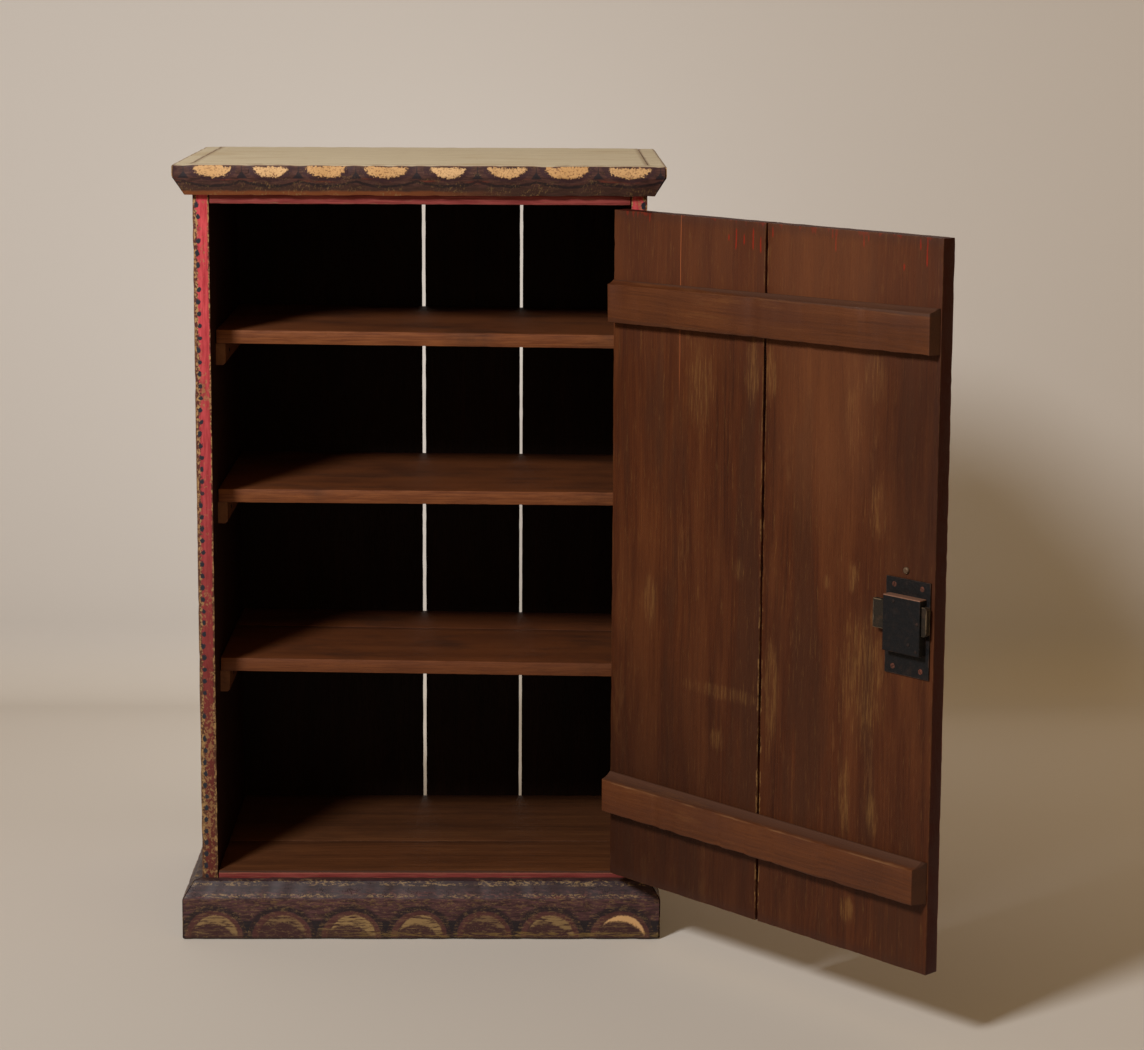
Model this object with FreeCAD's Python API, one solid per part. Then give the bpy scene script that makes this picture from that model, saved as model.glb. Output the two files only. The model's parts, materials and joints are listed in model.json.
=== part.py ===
import FreeCAD, Part
import math
import os

# A small painted kas cupboard: a nailed board carcass with three loose shelves, mitred cornice
# and plinth mouldings, and one inset batten door with an iron rim lock, standing open.
# Millimetres. Z is up and the front faces -Y. The origin is on the floor at mid-width, in the
# plane of the carcass's front edges. Door pieces are drawn shut, then swung open together.

V = FreeCAD.Vector
UP = V(0, 0, 1)
ACROSS = V(1, 0, 0)
BACK = V(0, 1, 0)

# ---- carcass boards ----
OVERALL_HEIGHT = 1000.0
CARCASS_WIDTH = 570.0
CARCASS_DEPTH = 345.0
SIDE_THICKNESS = 21.0
TOP_BOARD_THICKNESS = 20.0
SUBTOP_THICKNESS = 20.0
SUBTOP_DROP = 50.7               # from the top of the cupboard to the subtop's underside
FLOOR_THICKNESS = 18.0
FLOOR_TOP = 84.8
FLOOR_FRONT_BOARD_DEPTH = 129.5
ARRIS = 1.5                      # worn-off edge of a planed board

# ---- loose shelves on nailed cleats ----
SHELF_THICKNESS = 18.0
SHELF_SETBACK = 50.0
SHELF_END_CLEARANCE = 1.0
SHELF_LEFT_TOPS = {"upper": 785.0, "middle": 578.6, "lower": 355.8}
SHELF_FALLS = {"upper": 5.4, "middle": 3.4, "lower": 7.2}   # drop from left end to right end
LOWER_SHELF_FRONT_BOARD_DEPTH = 190.0
CLEAT_WIDTH = 12.5
CLEAT_HEIGHT = 28.0
CLEAT_SETBACK = 3.0              # cleat end behind the shelf's front edge
CLEAT_CORNER = 3.0               # worn lower inner edge
CLEAT_NAIL_INSET = 45.0

# ---- back boards, nailed over the carcass's rear edges ----
BACK_THICKNESS = 11.0
BACK_GAP_LEFT_AT = -9.0
BACK_GAP_LEFT = 4.4
BACK_GAP_RIGHT_AT = 125.8
BACK_GAP_RIGHT = 3.6
BACK_NAIL_INSET = 24.0

# ---- mouldings, mitred at the front corners ----
MITRE_GAP = 0.7
CORNICE_HEIGHT = 39.0
CORNICE_OVERHANG = 23.0
CORNICE_FACE = 15.0
CORNICE_BEVEL = 14.0
PLINTH_OVERHANG = 24.0
PLINTH_FACE = 54.0
PLINTH_LEDGE = 10.5
PLINTH_LEDGE_FALL = 1.5
PLINTH_BEVEL_RISE = 20.5
MOULDING_ROUND = 2.5             # worn roundness of the mouldings' outer edges

# ---- door ----
DOOR_THICKNESS = 21.0
DOOR_HINGE_CLEARANCE = 2.5
DOOR_LOCK_CLEARANCE = 3.5
DOOR_TOP_CLEARANCE = 2.8
DOOR_BOTTOM_CLEARANCE = 4.7
DOOR_REST_ANGLE = 133.0
PLANK_GAP = 3.3
HINGE_PLANK_WIDTH = 254.4
BATTEN_INSET = 1.5
BATTEN_LIP = 2.5                 # flat left on top, against the planks, behind the cove
UPPER_BATTEN = {"thickness": 16.0, "height": 52.5, "cove": 4.4, "hinge_bevel": 2.8,
                "lock_bevel": 3.4, "below_door_top": 109.4, "tilt": 0.95}
LOWER_BATTEN = {"thickness": 20.0, "height": 49.2, "cove": 6.5, "hinge_bevel": 2.4,
                "lock_bevel": 7.0, "above_door_bottom": 111.4, "tilt": -0.1}
BATTEN_NAIL_INSET = 40.0

# ---- butt hinges ----
PIN_IN_FRONT = 5.0               # pin axis in front of the carcass and of the shut door
PIN_RADIUS = 2.0
PIN_CLEARANCE = 0.06
KNUCKLE_RADIUS = 4.0
LEAF_THICKNESS = 1.2
LEAF_REACH = 19.0
LEAF_SCREW_REACH = 10.5
LEAF_SCREW_INSET = 8.0
HINGE_HEIGHT = 64.0
KNUCKLE_GAP = 0.4
HINGE_FROM_DOOR_END = 110.0
PIN_HEAD_RADIUS = 3.4
PIN_HEAD_HEIGHT = 1.6

# ---- rim lock on the door's inner face ----
LOCK_PLATE_WIDTH = 65.0
LOCK_PLATE_HEIGHT = 113.5
LOCK_PLATE_THICKNESS = 2.0
LOCK_PLATE_EDGE_DISTANCE = 5.0
LOCK_CENTRE_ABOVE_DOOR_BOTTOM = 407.0
LOCK_CASE_WIDTH = 54.5
LOCK_CASE_HEIGHT = 66.0
LOCK_CASE_HEIGHT_OVER_PLATE = 12.0
LOCK_CASE_RISE = 4.5             # case centre above the plate's centre
LOCK_CASE_WALL = 1.6
BOLT_THICKNESS = 7.0
BOLT_HEIGHT = 34.2
BOLT_LIFT = 1.5                  # bolt's rear face in front of the plate
BOLT_RISE = 12.4                 # bolt centre above the plate's centre
BOLT_TAIL_OUT = 17.5
BOLT_HEAD_OUT = 7.0
BOLT_THROW = 14.0
BOLT_CLEARANCE = 0.4
BOLT_HEAD_ROUND = 4.0
TALON_RADIUS = 6.0
MORTISE_CLEARANCE = 2.0
KEYHOLE_RADIUS = 4.5
KEYHOLE_SLOT_WIDTH = 5.0
KEYHOLE_SLOT_DROP = 13.0
KEYHOLE_BELOW_BOLT = 10.0
RIVET_PLACES = ((16.0, 27.0), (51.0, 5.0), (39.0, -20.5), (50.0, -27.0))  # from case's left, centre
RIVET_RADIUS = 1.0
RIVET_HEAD_RADIUS = 2.0
RIVET_HEAD_HEIGHT = 0.8
CASE_FOLD_ROUND = 1.4
STUD_HEAD_RADIUS = 4.2
STUD_HEAD_HEIGHT = 2.6
STUD_ABOVE_PLATE = 9.3
STUD_FROM_PLATE_EDGE = 28.0

# ---- fasteners: wrought nails with square shanks and faceted heads, plain screws ----
HOLE_CLEARANCE = 0.1
NAIL_THICKNESS = 2.4
NAIL_HEAD_WIDTH = 6.4
NAIL_HEAD_HEIGHT = 1.2
NAIL_HEAD_FACETS = 8
NAIL_HEAD_TAPER = 0.45           # top of a faceted head, as a share of its foot
NAIL_BITE = 14.0                 # length held by the second board
BATTEN_NAIL_COVER = 5.0          # batten left over the nails' points
FRAME_NAIL_HEAD_WIDTH = 5.0      # nails of the carcass and mouldings, punched level
FRAME_NAIL_BITE = 22.0
FRAME_NAIL_INSET = 30.0
SHORT_NAIL_BITE = 14.0
MOULDING_NAIL_INSET = 60.0
MITRE_NAIL_UP = 18.0
SCREW_RADIUS = 1.6
SCREW_HEAD_RADIUS = 3.3
SCREW_BITE = 11.0
SCREW_FACETS = 12
LOCK_SCREW_INSET_ACROSS = 12.0
LOCK_SCREW_INSET_UP = 8.5

# ---- working allowances ----
SPARE = 1.0                      # how far a cutting shape runs past what it cuts
TOUCH = 0.01                     # two places closer than this are the same place

# ---- places that follow from the sizes above ----
HALF_WIDTH = CARCASS_WIDTH / 2
INSIDE = HALF_WIDTH - SIDE_THICKNESS
SIDE_TOP = OVERALL_HEIGHT - TOP_BOARD_THICKNESS
SUBTOP_UNDERSIDE = OVERALL_HEIGHT - SUBTOP_DROP
BACK_FACE = CARCASS_DEPTH + BACK_THICKNESS
DOOR_HINGE_EDGE = INSIDE - DOOR_HINGE_CLEARANCE
DOOR_WIDTH = 2 * INSIDE - DOOR_HINGE_CLEARANCE - DOOR_LOCK_CLEARANCE
DOOR_BOTTOM = FLOOR_TOP + DOOR_BOTTOM_CLEARANCE
DOOR_TOP = SUBTOP_UNDERSIDE - DOOR_TOP_CLEARANCE
PIN_X = DOOR_HINGE_EDGE
PIN_Y = -PIN_IN_FRONT
LOCK_Z = DOOR_BOTTOM + LOCK_CENTRE_ABOVE_DOOR_BOTTOM
PLATE_FAR = DOOR_WIDTH - LOCK_PLATE_EDGE_DISTANCE
PLATE_NEAR = PLATE_FAR - LOCK_PLATE_WIDTH
PLATE_TOP_Z = LOCK_Z + LOCK_PLATE_HEIGHT / 2
PLATE_FACE = DOOR_THICKNESS + LOCK_PLATE_THICKNESS
CASE_NEAR = PLATE_NEAR + (LOCK_PLATE_WIDTH - LOCK_CASE_WIDTH) / 2
CASE_FAR = CASE_NEAR + LOCK_CASE_WIDTH
CASE_Z = LOCK_Z + LOCK_CASE_RISE
CASE_FACE = PLATE_FACE + LOCK_CASE_HEIGHT_OVER_PLATE
BOLT_Z = LOCK_Z + BOLT_RISE
BOLT_REAR = PLATE_FACE + BOLT_LIFT
BOLT_FRONT = BOLT_REAR + BOLT_THICKNESS
KEY_A = (CASE_NEAR + CASE_FAR) / 2
KEY_Z = BOLT_Z - BOLT_HEIGHT / 2 - KEYHOLE_BELOW_BOLT


# ---- shape helpers ----
def box(x0, x1, y0, y1, z0, z1):
    return Part.makeBox(x1 - x0, y1 - y0, z1 - z0, V(x0, y0, z0))


def prism(points, along):
    """A closed outline of 3-D points, pushed along a vector."""
    face = Part.Face(Part.makePolygon([V(*p) for p in points] + [V(*points[0])]))
    return face.extrude(along)


def rod(radius, start, along, length):
    return Part.makeCylinder(radius, length, start, along)


def cut_all(body, tools):
    return body.cut(Part.makeCompound(tools)) if tools else body


def slab(x0, x1, y0, y1, z0, z1, arris=ARRIS):
    """A board standing on end, with its two front edges and two rear edges eased."""
    outline = [(x0 + arris, y0), (x1 - arris, y0), (x1, y0 + arris), (x1, y1 - arris),
               (x1 - arris, y1), (x0 + arris, y1), (x0, y1 - arris), (x0, y0 + arris)]
    return prism([(x, y, z0) for x, y in outline], V(0, 0, z1 - z0))


def aimed(shape, foot, along):
    """Moves a shape drawn along +Z so that it starts at foot and points along a direction."""
    shape.Placement = FreeCAD.Placement(foot, FreeCAD.Rotation(UP, along))
    return shape


def square_bar(thickness, length):
    half = thickness / 2
    return box(-half, half, -half, half, 0, length)


def facets(rings, sides):
    """A many-sided solid lofted through (radius, z) rings."""
    outlines = []
    for r, z in rings:
        turns = [2 * math.pi * (k + 0.5) / sides for k in range(sides)]
        points = [V(r * math.cos(t), r * math.sin(t), z) for t in turns]
        outlines.append(Part.makePolygon(points + points[:1]))
    return Part.makeLoft(outlines, True, True)


def faceted_head(width, height):
    """A low many-sided head, wide at its foot and narrow on top, reaching down from z = 0."""
    return facets([(width / 2, 0), (width / 2 * NAIL_HEAD_TAPER, -height)], NAIL_HEAD_FACETS)


def nail(head_at, along, length, head_width=NAIL_HEAD_WIDTH, head_height=NAIL_HEAD_HEIGHT):
    """A wrought nail whose head stands on the surface at head_at."""
    head = faceted_head(head_width, head_height)
    return aimed(head.fuse(square_bar(NAIL_THICKNESS, length)), head_at, along)


def nail_hole(head_at, along, length):
    c = HOLE_CLEARANCE
    return aimed(square_bar(NAIL_THICKNESS + 2 * c, length + c), head_at, along)


def frame_nail(face_at, along, board, bite):
    """A nail punched level with the face of the board it is driven through."""
    half = FRAME_NAIL_HEAD_WIDTH / 2
    head = box(-half, half, -half, half, 0, NAIL_HEAD_HEIGHT)
    return aimed(head.fuse(square_bar(NAIL_THICKNESS, board + bite)), face_at, along)


def frame_nail_hole(face_at, along, board, bite):
    c = HOLE_CLEARANCE
    half = FRAME_NAIL_HEAD_WIDTH / 2 + c
    head = box(-half, half, -half, half, 0, NAIL_HEAD_HEIGHT)
    return aimed(head.fuse(square_bar(NAIL_THICKNESS + 2 * c, board + bite + c)), face_at, along)


def headed_pin(head_radius, radius, head, length):
    """A countersunk head and a plain shank, along +Z from the head's flat top."""
    return facets([(head_radius, 0), (radius, head)], SCREW_FACETS).fuse(
        facets([(radius, head), (radius, length)], SCREW_FACETS))


def screw(face_at, along, plate):
    """A countersunk screw, flush with a plate's face at face_at."""
    return aimed(headed_pin(SCREW_HEAD_RADIUS, SCREW_RADIUS, plate, plate + SCREW_BITE),
                 face_at, along)


def screw_hole(face_at, along, plate):
    c = HOLE_CLEARANCE
    return aimed(headed_pin(SCREW_HEAD_RADIUS + c, SCREW_RADIUS + c, plate,
                            plate + SCREW_BITE + c), face_at, along)


# ---- door coordinates: a from the hinge edge, n in from the outer face, z up ----
def door_point(a, n, z):
    return V(DOOR_HINGE_EDGE - a, n, z)


def door_box(a0, a1, n0, n1, z0, z1):
    return box(DOOR_HINGE_EDGE - a1, DOOR_HINGE_EDGE - a0, n0, n1, z0, z1)


def opened(shape):
    swung = shape.copy()
    swung.rotate(V(PIN_X, PIN_Y, 0), UP, DOOR_REST_ANGLE)
    return swung


# ---- shelves: tops fall in a straight line from the left side to the right ----
def shelf_top(name, x):
    share = (x + INSIDE) / (2 * INSIDE)
    return SHELF_LEFT_TOPS[name] - SHELF_FALLS[name] * share


def shelf_board(name, y0, y1):
    x0, x1 = -INSIDE + SHELF_END_CLEARANCE, INSIDE - SHELF_END_CLEARANCE
    z0, z1 = shelf_top(name, x0), shelf_top(name, x1)
    t = SHELF_THICKNESS
    return prism([(x0, y0, z0), (x1, y0, z1), (x1, y0, z1 - t), (x0, y0, z0 - t)], BACK * (y1 - y0))


def cleat(name, hand):
    x0, x1 = hand * INSIDE, hand * (INSIDE - CLEAT_WIDTH)
    y0 = SHELF_SETBACK + CLEAT_SETBACK
    z0, z1 = shelf_top(name, x0) - SHELF_THICKNESS, shelf_top(name, x1) - SHELF_THICKNESS
    foot = z0 - CLEAT_HEIGHT
    worn = [(x0, y0, z0), (x1, y0, z1), (x1, y0, foot + CLEAT_CORNER),
            (x1 + hand * CLEAT_CORNER, y0, foot), (x0, y0, foot)]
    return prism(worn, BACK * (CARCASS_DEPTH - y0))


def cleat_nail_places(name, hand):
    z = shelf_top(name, hand * INSIDE) - SHELF_THICKNESS - CLEAT_HEIGHT / 2
    x = hand * (INSIDE - CLEAT_WIDTH)
    front = SHELF_SETBACK + CLEAT_SETBACK + CLEAT_NAIL_INSET
    return [V(x, y, z) for y in (front, CARCASS_DEPTH - CLEAT_NAIL_INSET)]


# ---- back boards ----
BACK_BOARD_SPANS = {
    "left": (-HALF_WIDTH, BACK_GAP_LEFT_AT - BACK_GAP_LEFT / 2),
    "middle": (BACK_GAP_LEFT_AT + BACK_GAP_LEFT / 2, BACK_GAP_RIGHT_AT - BACK_GAP_RIGHT / 2),
    "right": (BACK_GAP_RIGHT_AT + BACK_GAP_RIGHT / 2, HALF_WIDTH),
}


def back_nail_places(span):
    """Two nails into the subtop and two into the floor board, clear of the carcass sides."""
    inner = SIDE_THICKNESS if abs(span[0]) == HALF_WIDTH else 0
    outer = SIDE_THICKNESS if abs(span[1]) == HALF_WIDTH else 0
    xs = (span[0] + inner + BACK_NAIL_INSET, span[1] - outer - BACK_NAIL_INSET)
    zs = (SUBTOP_UNDERSIDE + SUBTOP_THICKNESS / 2, FLOOR_TOP - FLOOR_THICKNESS / 2)
    return [V(x, BACK_FACE, z) for x in xs for z in zs]


# ---- mouldings ----
def moulding(profile, base_z):
    """A moulding round the front and both sides: one profile of (outward, up) points, eased
    along its outer edges, mitred at the front corners and rounded there in plan."""
    reach = max(u for u, _ in profile)
    far = 2 * reach
    tall = max(z for _, z in profile) + 2 * SPARE
    w, d = HALF_WIDTH, BACK_FACE
    bars = {"front": prism([(-w - reach, -u, base_z + z) for u, z in profile],
                           ACROSS * 2 * (w + reach))}
    plans = {"front": [(-w, 0), (-w - far, -far), (w + far, -far), (w, 0)]}
    for name, hand in (("left", -1), ("right", 1)):
        bars[name] = prism([(hand * (w + u), -reach, base_z + z) for u, z in profile],
                           BACK * (reach + d))
        plans[name] = [(hand * w, 0), (hand * (w + far), -far), (hand * (w + far), d), (hand * w, d)]
    rounded = rounded_plan(w + reach, reach, d, base_z, tall)
    saws = [mitre_saw(hand, far, base_z, tall) for hand in (-1, 1)]
    pieces = {}
    for name, bar in bars.items():
        bar = bar.makeFillet(MOULDING_ROUND, [e for e in bar.Edges if is_worn(e, reach)])
        zone = prism([(x, y, base_z - SPARE) for x, y in plans[name]], UP * tall)
        pieces[name] = cut_all(bar.common(zone).common(rounded), saws)
    return pieces


def is_worn(edge, reach):
    """True for the long edges at a moulding's full reach."""
    ends = [v.Point for v in edge.Vertexes]
    on_front = all(p.y < -reach + TOUCH for p in ends) and abs(ends[0].x - ends[1].x) > reach
    on_side = (all(abs(p.x) > HALF_WIDTH + reach - TOUCH for p in ends)
               and abs(ends[0].y - ends[1].y) > reach)
    return on_front or on_side


def rounded_plan(half, reach, back, base_z, tall):
    """The moulding's outline seen from above, with its two front corners worn round."""
    block = box(-half, half, -reach, back, base_z - SPARE, base_z - SPARE + tall)
    corners = [e for e in block.Edges if all(v.Y < -reach + TOUCH for v in e.Vertexes)
               and abs(e.Vertexes[0].X - e.Vertexes[1].X) < TOUCH]
    return block.makeFillet(MOULDING_ROUND, corners)


def mitre_saw(hand, far, base_z, tall):
    """The thin open line of the mitre at one front corner."""
    half = MITRE_GAP / 2 * math.sqrt(2)
    w = HALF_WIDTH
    plan = [(hand * (w - half - SPARE), SPARE), (hand * (w + half - SPARE), SPARE),
            (hand * (w + half + far), -far), (hand * (w - half + far), -far)]
    return prism([(x, y, base_z - SPARE) for x, y in plan], UP * tall)


CORNICE_PROFILE = [(0, 0), (CORNICE_OVERHANG - CORNICE_BEVEL, 0),
                   (CORNICE_OVERHANG, CORNICE_HEIGHT - CORNICE_FACE),
                   (CORNICE_OVERHANG, CORNICE_HEIGHT), (0, CORNICE_HEIGHT)]
PLINTH_PROFILE = [(0, 0), (PLINTH_OVERHANG, 0), (PLINTH_OVERHANG, PLINTH_FACE),
                  (PLINTH_LEDGE, PLINTH_FACE + PLINTH_BEVEL_RISE),
                  (0, PLINTH_FACE + PLINTH_BEVEL_RISE + PLINTH_LEDGE_FALL)]


# ---- battens ----
def batten(spec, centre_z):
    """A bar with a cove along its top edge and bevelled ends, laid on the planks' inner face."""
    half = spec["height"] / 2
    rear, face = DOOR_THICKNESS, DOOR_THICKNESS + spec["thickness"]
    start, stop = BATTEN_INSET, DOOR_WIDTH - BATTEN_INSET
    lip = V(0, rear + BATTEN_LIP, half)
    edge = V(0, face, half - spec["cove"])
    chord = edge - lip
    sag = V(0, -chord.z, chord.y).normalize() * (spec["cove"] / 4)
    outline = [V(0, rear, half), V(0, rear, -half), V(0, face, -half), edge]
    wire = Part.Wire([Part.makePolygon(outline), Part.Arc(edge, lip + chord / 2 - sag, lip).toShape(),
                      Part.makePolygon([lip, outline[0]])])
    bar = Part.Face(wire).extrude(V(start - stop, 0, 0))
    bar.translate(door_point(start, 0, centre_z))
    bar = bar.cut(end_wedge(spec, spec["hinge_bevel"], start, 1, centre_z))
    bar = bar.cut(end_wedge(spec, spec["lock_bevel"], stop, -1, centre_z))
    bar.rotate(door_point(DOOR_WIDTH / 2, 0, centre_z), BACK, spec["tilt"])
    return bar


def end_wedge(spec, bevel, end, inward, centre_z):
    """What the end bevel takes off: nothing at the planks, the full bevel at the face."""
    rear, face = DOOR_THICKNESS, DOOR_THICKNESS + spec["thickness"]
    plan = [(end, rear), (end + inward * bevel, face), (end, face)]
    low = centre_z - spec["height"] / 2
    return prism([tuple(door_point(a, n, low)) for a, n in plan], UP * spec["height"])


def batten_nail_places(spec, centre_z):
    """Two nails through each plank, on the batten's tilted centre line, driven from outside."""
    lock_plank = HINGE_PLANK_WIDTH + PLANK_GAP
    places = (BATTEN_NAIL_INSET, HINGE_PLANK_WIDTH - BATTEN_NAIL_INSET,
              lock_plank + BATTEN_NAIL_INSET, DOOR_WIDTH - BATTEN_NAIL_INSET)
    slope = math.tan(math.radians(spec["tilt"]))
    return [door_point(a, 0, centre_z + (a - DOOR_WIDTH / 2) * slope) for a in places]


# ---- hinges ----
def hinge_leaf(centre_z, for_door):
    """One leaf with its knuckles, drawn with the door shut. The door's leaf has the middle one."""
    third = HINGE_HEIGHT / 3
    low, high = centre_z - HINGE_HEIGHT / 2, centre_z + HINGE_HEIGHT / 2
    middle = (low + third + KNUCKLE_GAP / 2, high - third - KNUCKLE_GAP / 2)
    outer = ((low, low + third - KNUCKLE_GAP / 2), (high - third + KNUCKLE_GAP / 2, high))
    spans = (middle,) if for_door else outer
    x0 = DOOR_HINGE_EDGE if for_door else INSIDE - LEAF_THICKNESS
    leaf = box(x0, x0 + LEAF_THICKNESS, 0, LEAF_REACH, low, high)
    for z0, z1 in spans:
        knuckle = rod(KNUCKLE_RADIUS, V(PIN_X, PIN_Y, z0), UP, z1 - z0)
        tongue = box(x0, x0 + LEAF_THICKNESS, PIN_Y, 0, z0, z1)
        leaf = leaf.fuse([knuckle, tongue])
    bore = rod(PIN_RADIUS + PIN_CLEARANCE, V(PIN_X, PIN_Y, low - SPARE), UP,
               HINGE_HEIGHT + 2 * SPARE)
    return leaf.removeSplitter().cut(bore)


def hinge_pin(centre_z):
    """A plain pin hung by its head on the top knuckle."""
    foot = V(PIN_X, PIN_Y, centre_z - HINGE_HEIGHT / 2)
    head = Part.makeCone(PIN_HEAD_RADIUS, PIN_RADIUS, PIN_HEAD_HEIGHT, foot + UP * HINGE_HEIGHT)
    return rod(PIN_RADIUS, foot, UP, HINGE_HEIGHT).fuse(head)


def hinge_screw_places(centre_z, for_door):
    """Three screws in a leaf: (place on the leaf's face, direction into the wood)."""
    x = DOOR_HINGE_EDGE + LEAF_THICKNESS if for_door else INSIDE - LEAF_THICKNESS
    along = V(-1, 0, 0) if for_door else V(1, 0, 0)
    rise = HINGE_HEIGHT / 2 - LEAF_SCREW_INSET
    return [(V(x, LEAF_SCREW_REACH, centre_z + dz), along) for dz in (-rise, 0, rise)]


HINGE_HEIGHTS = {"upper": DOOR_TOP - HINGE_FROM_DOOR_END, "lower": DOOR_BOTTOM + HINGE_FROM_DOOR_END}


# ---- rim lock ----
def keyhole(n0, n1):
    """A round hole with a slot below it, through the door and the lock plate."""
    eye = rod(KEYHOLE_RADIUS, door_point(KEY_A, n0, KEY_Z), BACK, n1 - n0)
    half = KEYHOLE_SLOT_WIDTH / 2
    slot = door_box(KEY_A - half, KEY_A + half, n0, n1, KEY_Z - KEYHOLE_SLOT_DROP, KEY_Z)
    return eye.fuse(slot)


def lock_screw_places():
    near, far = PLATE_NEAR + LOCK_SCREW_INSET_ACROSS, PLATE_FAR - LOCK_SCREW_INSET_ACROSS
    rise = LOCK_PLATE_HEIGHT / 2 - LOCK_SCREW_INSET_UP
    return [door_point(a, PLATE_FACE, LOCK_Z + dz) for a in (near, far) for dz in (-rise, rise)]


def bolt_room(a0, a1):
    """The bolt's running space between two distances from the hinge edge."""
    c = BOLT_CLEARANCE
    h = BOLT_HEIGHT / 2 + c
    return door_box(a0, a1, BOLT_REAR - c, BOLT_FRONT + c, BOLT_Z - h, BOLT_Z + h)


def lock_plate():
    h = LOCK_PLATE_HEIGHT / 2
    plate = door_box(PLATE_NEAR, PLATE_FAR, DOOR_THICKNESS, PLATE_FACE, LOCK_Z - h, LOCK_Z + h)
    tools = [screw_hole(p, -BACK, LOCK_PLATE_THICKNESS) for p in lock_screw_places()]
    return cut_all(plate, tools + [keyhole(0, PLATE_FACE)])


def rivet_places():
    return [door_point(CASE_NEAR + da, CASE_FACE, CASE_Z + dz) for da, dz in RIVET_PLACES]


def lock_case():
    """A folded sheet-iron cover, open towards the plate, slotted at both ends for the bolt."""
    h, wall = LOCK_CASE_HEIGHT / 2, LOCK_CASE_WALL
    shell = door_box(CASE_NEAR, CASE_FAR, PLATE_FACE, CASE_FACE, CASE_Z - h, CASE_Z + h)
    folds = [e for e in shell.Edges if all(abs(v.Y - CASE_FACE) < TOUCH for v in e.Vertexes)]
    shell = shell.makeFillet(CASE_FOLD_ROUND, folds)
    hollow = door_box(CASE_NEAR + wall, CASE_FAR - wall, PLATE_FACE, CASE_FACE - wall,
                      CASE_Z - h + wall, CASE_Z + h - wall)
    holes = [rivet_shank(p, HOLE_CLEARANCE) for p in rivet_places()]
    return cut_all(shell, [hollow, bolt_room(CASE_NEAR, CASE_FAR)] + holes)


def lock_bolt():
    """A flat bar through the case, unlocked: rounded head, plain tail, talon notch for the key."""
    h = BOLT_HEIGHT / 2
    bar = door_box(CASE_NEAR - BOLT_TAIL_OUT, CASE_FAR + BOLT_HEAD_OUT, BOLT_REAR, BOLT_FRONT,
                   BOLT_Z - h, BOLT_Z + h)
    head_x = DOOR_HINGE_EDGE - CASE_FAR - BOLT_HEAD_OUT
    corners = [e for e in bar.Edges if all(abs(v.X - head_x) < TOUCH for v in e.Vertexes)
               and abs(e.Vertexes[0].Z - e.Vertexes[1].Z) < TOUCH]
    bar = bar.makeFillet(BOLT_HEAD_ROUND, corners)
    talon = rod(TALON_RADIUS, door_point(KEY_A, BOLT_REAR, BOLT_Z - h), BACK, BOLT_THICKNESS)
    return bar.cut(talon)


def rivet_shank(place, clearance=0.0):
    shank = facets([(RIVET_RADIUS + clearance, 0), (RIVET_RADIUS + clearance, LOCK_CASE_WALL)],
                   NAIL_HEAD_FACETS)
    return aimed(shank, place, -BACK)


def rivet(place):
    """A short rivet through the case's sheet, its low head outside."""
    head = aimed(faceted_head(2 * RIVET_HEAD_RADIUS, RIVET_HEAD_HEIGHT), place, -BACK)
    return head.fuse(rivet_shank(place))


def stud_place():
    return door_point(PLATE_NEAR + STUD_FROM_PLATE_EDGE, DOOR_THICKNESS,
                      PLATE_TOP_Z + STUD_ABOVE_PLATE)


# ---- nails that hold the carcass boards and the mouldings ----
def frame_nail_places():
    """Node name to its nails: (place on the face, direction, board driven through, bite)."""
    subtop_z = SUBTOP_UNDERSIDE + SUBTOP_THICKNESS / 2
    floor_z = FLOOR_TOP - FLOOR_THICKNESS / 2
    inset, joint = FRAME_NAIL_INSET, FLOOR_FRONT_BOARD_DEPTH
    along_side = (inset, CARCASS_DEPTH / 2, CARCASS_DEPTH - inset)
    along_floor = (inset, joint - inset, joint + inset, CARCASS_DEPTH - inset)
    crown_z = OVERALL_HEIGHT - CORNICE_FACE / 2
    side_middle = HALF_WIDTH - SIDE_THICKNESS / 2
    far_back = CARCASS_DEPTH - MOULDING_NAIL_INSET
    places = {"carcass_nails": [], "top_nails": [], "cornice_nails": [], "plinth_nails": []}
    for hand in (-1, 1):
        inward = V(-hand, 0, 0)
        side_x, crown_x, plinth_x = (hand * (HALF_WIDTH + u) for u in
                                     (0, CORNICE_OVERHANG, PLINTH_OVERHANG))
        spots = [(y, subtop_z) for y in along_side] + [(y, floor_z) for y in along_floor]
        places["carcass_nails"] += [(V(side_x, y, z), inward, SIDE_THICKNESS, FRAME_NAIL_BITE)
                                    for y, z in spots]
        places["top_nails"] += [(V(hand * side_middle, y, OVERALL_HEIGHT), -UP,
                                 TOP_BOARD_THICKNESS, SHORT_NAIL_BITE) for y in along_side]
        for y in (MOULDING_NAIL_INSET, far_back):
            places["cornice_nails"].append((V(crown_x, y, crown_z), inward,
                                            CORNICE_OVERHANG, SHORT_NAIL_BITE))
            places["plinth_nails"].append((V(plinth_x, y, MITRE_NAIL_UP), inward,
                                           PLINTH_OVERHANG, SHORT_NAIL_BITE))
        for z in (MITRE_NAIL_UP, PLINTH_FACE - MITRE_NAIL_UP):
            places["plinth_nails"].append((V(hand * side_middle, -PLINTH_OVERHANG, z), BACK,
                                           PLINTH_OVERHANG, FRAME_NAIL_BITE))
        for x in (side_middle - MOULDING_NAIL_INSET, side_middle / 3):
            places["cornice_nails"].append((V(hand * x, -CORNICE_OVERHANG, crown_z), BACK,
                                            CORNICE_OVERHANG, FRAME_NAIL_BITE))
    return places


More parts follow.
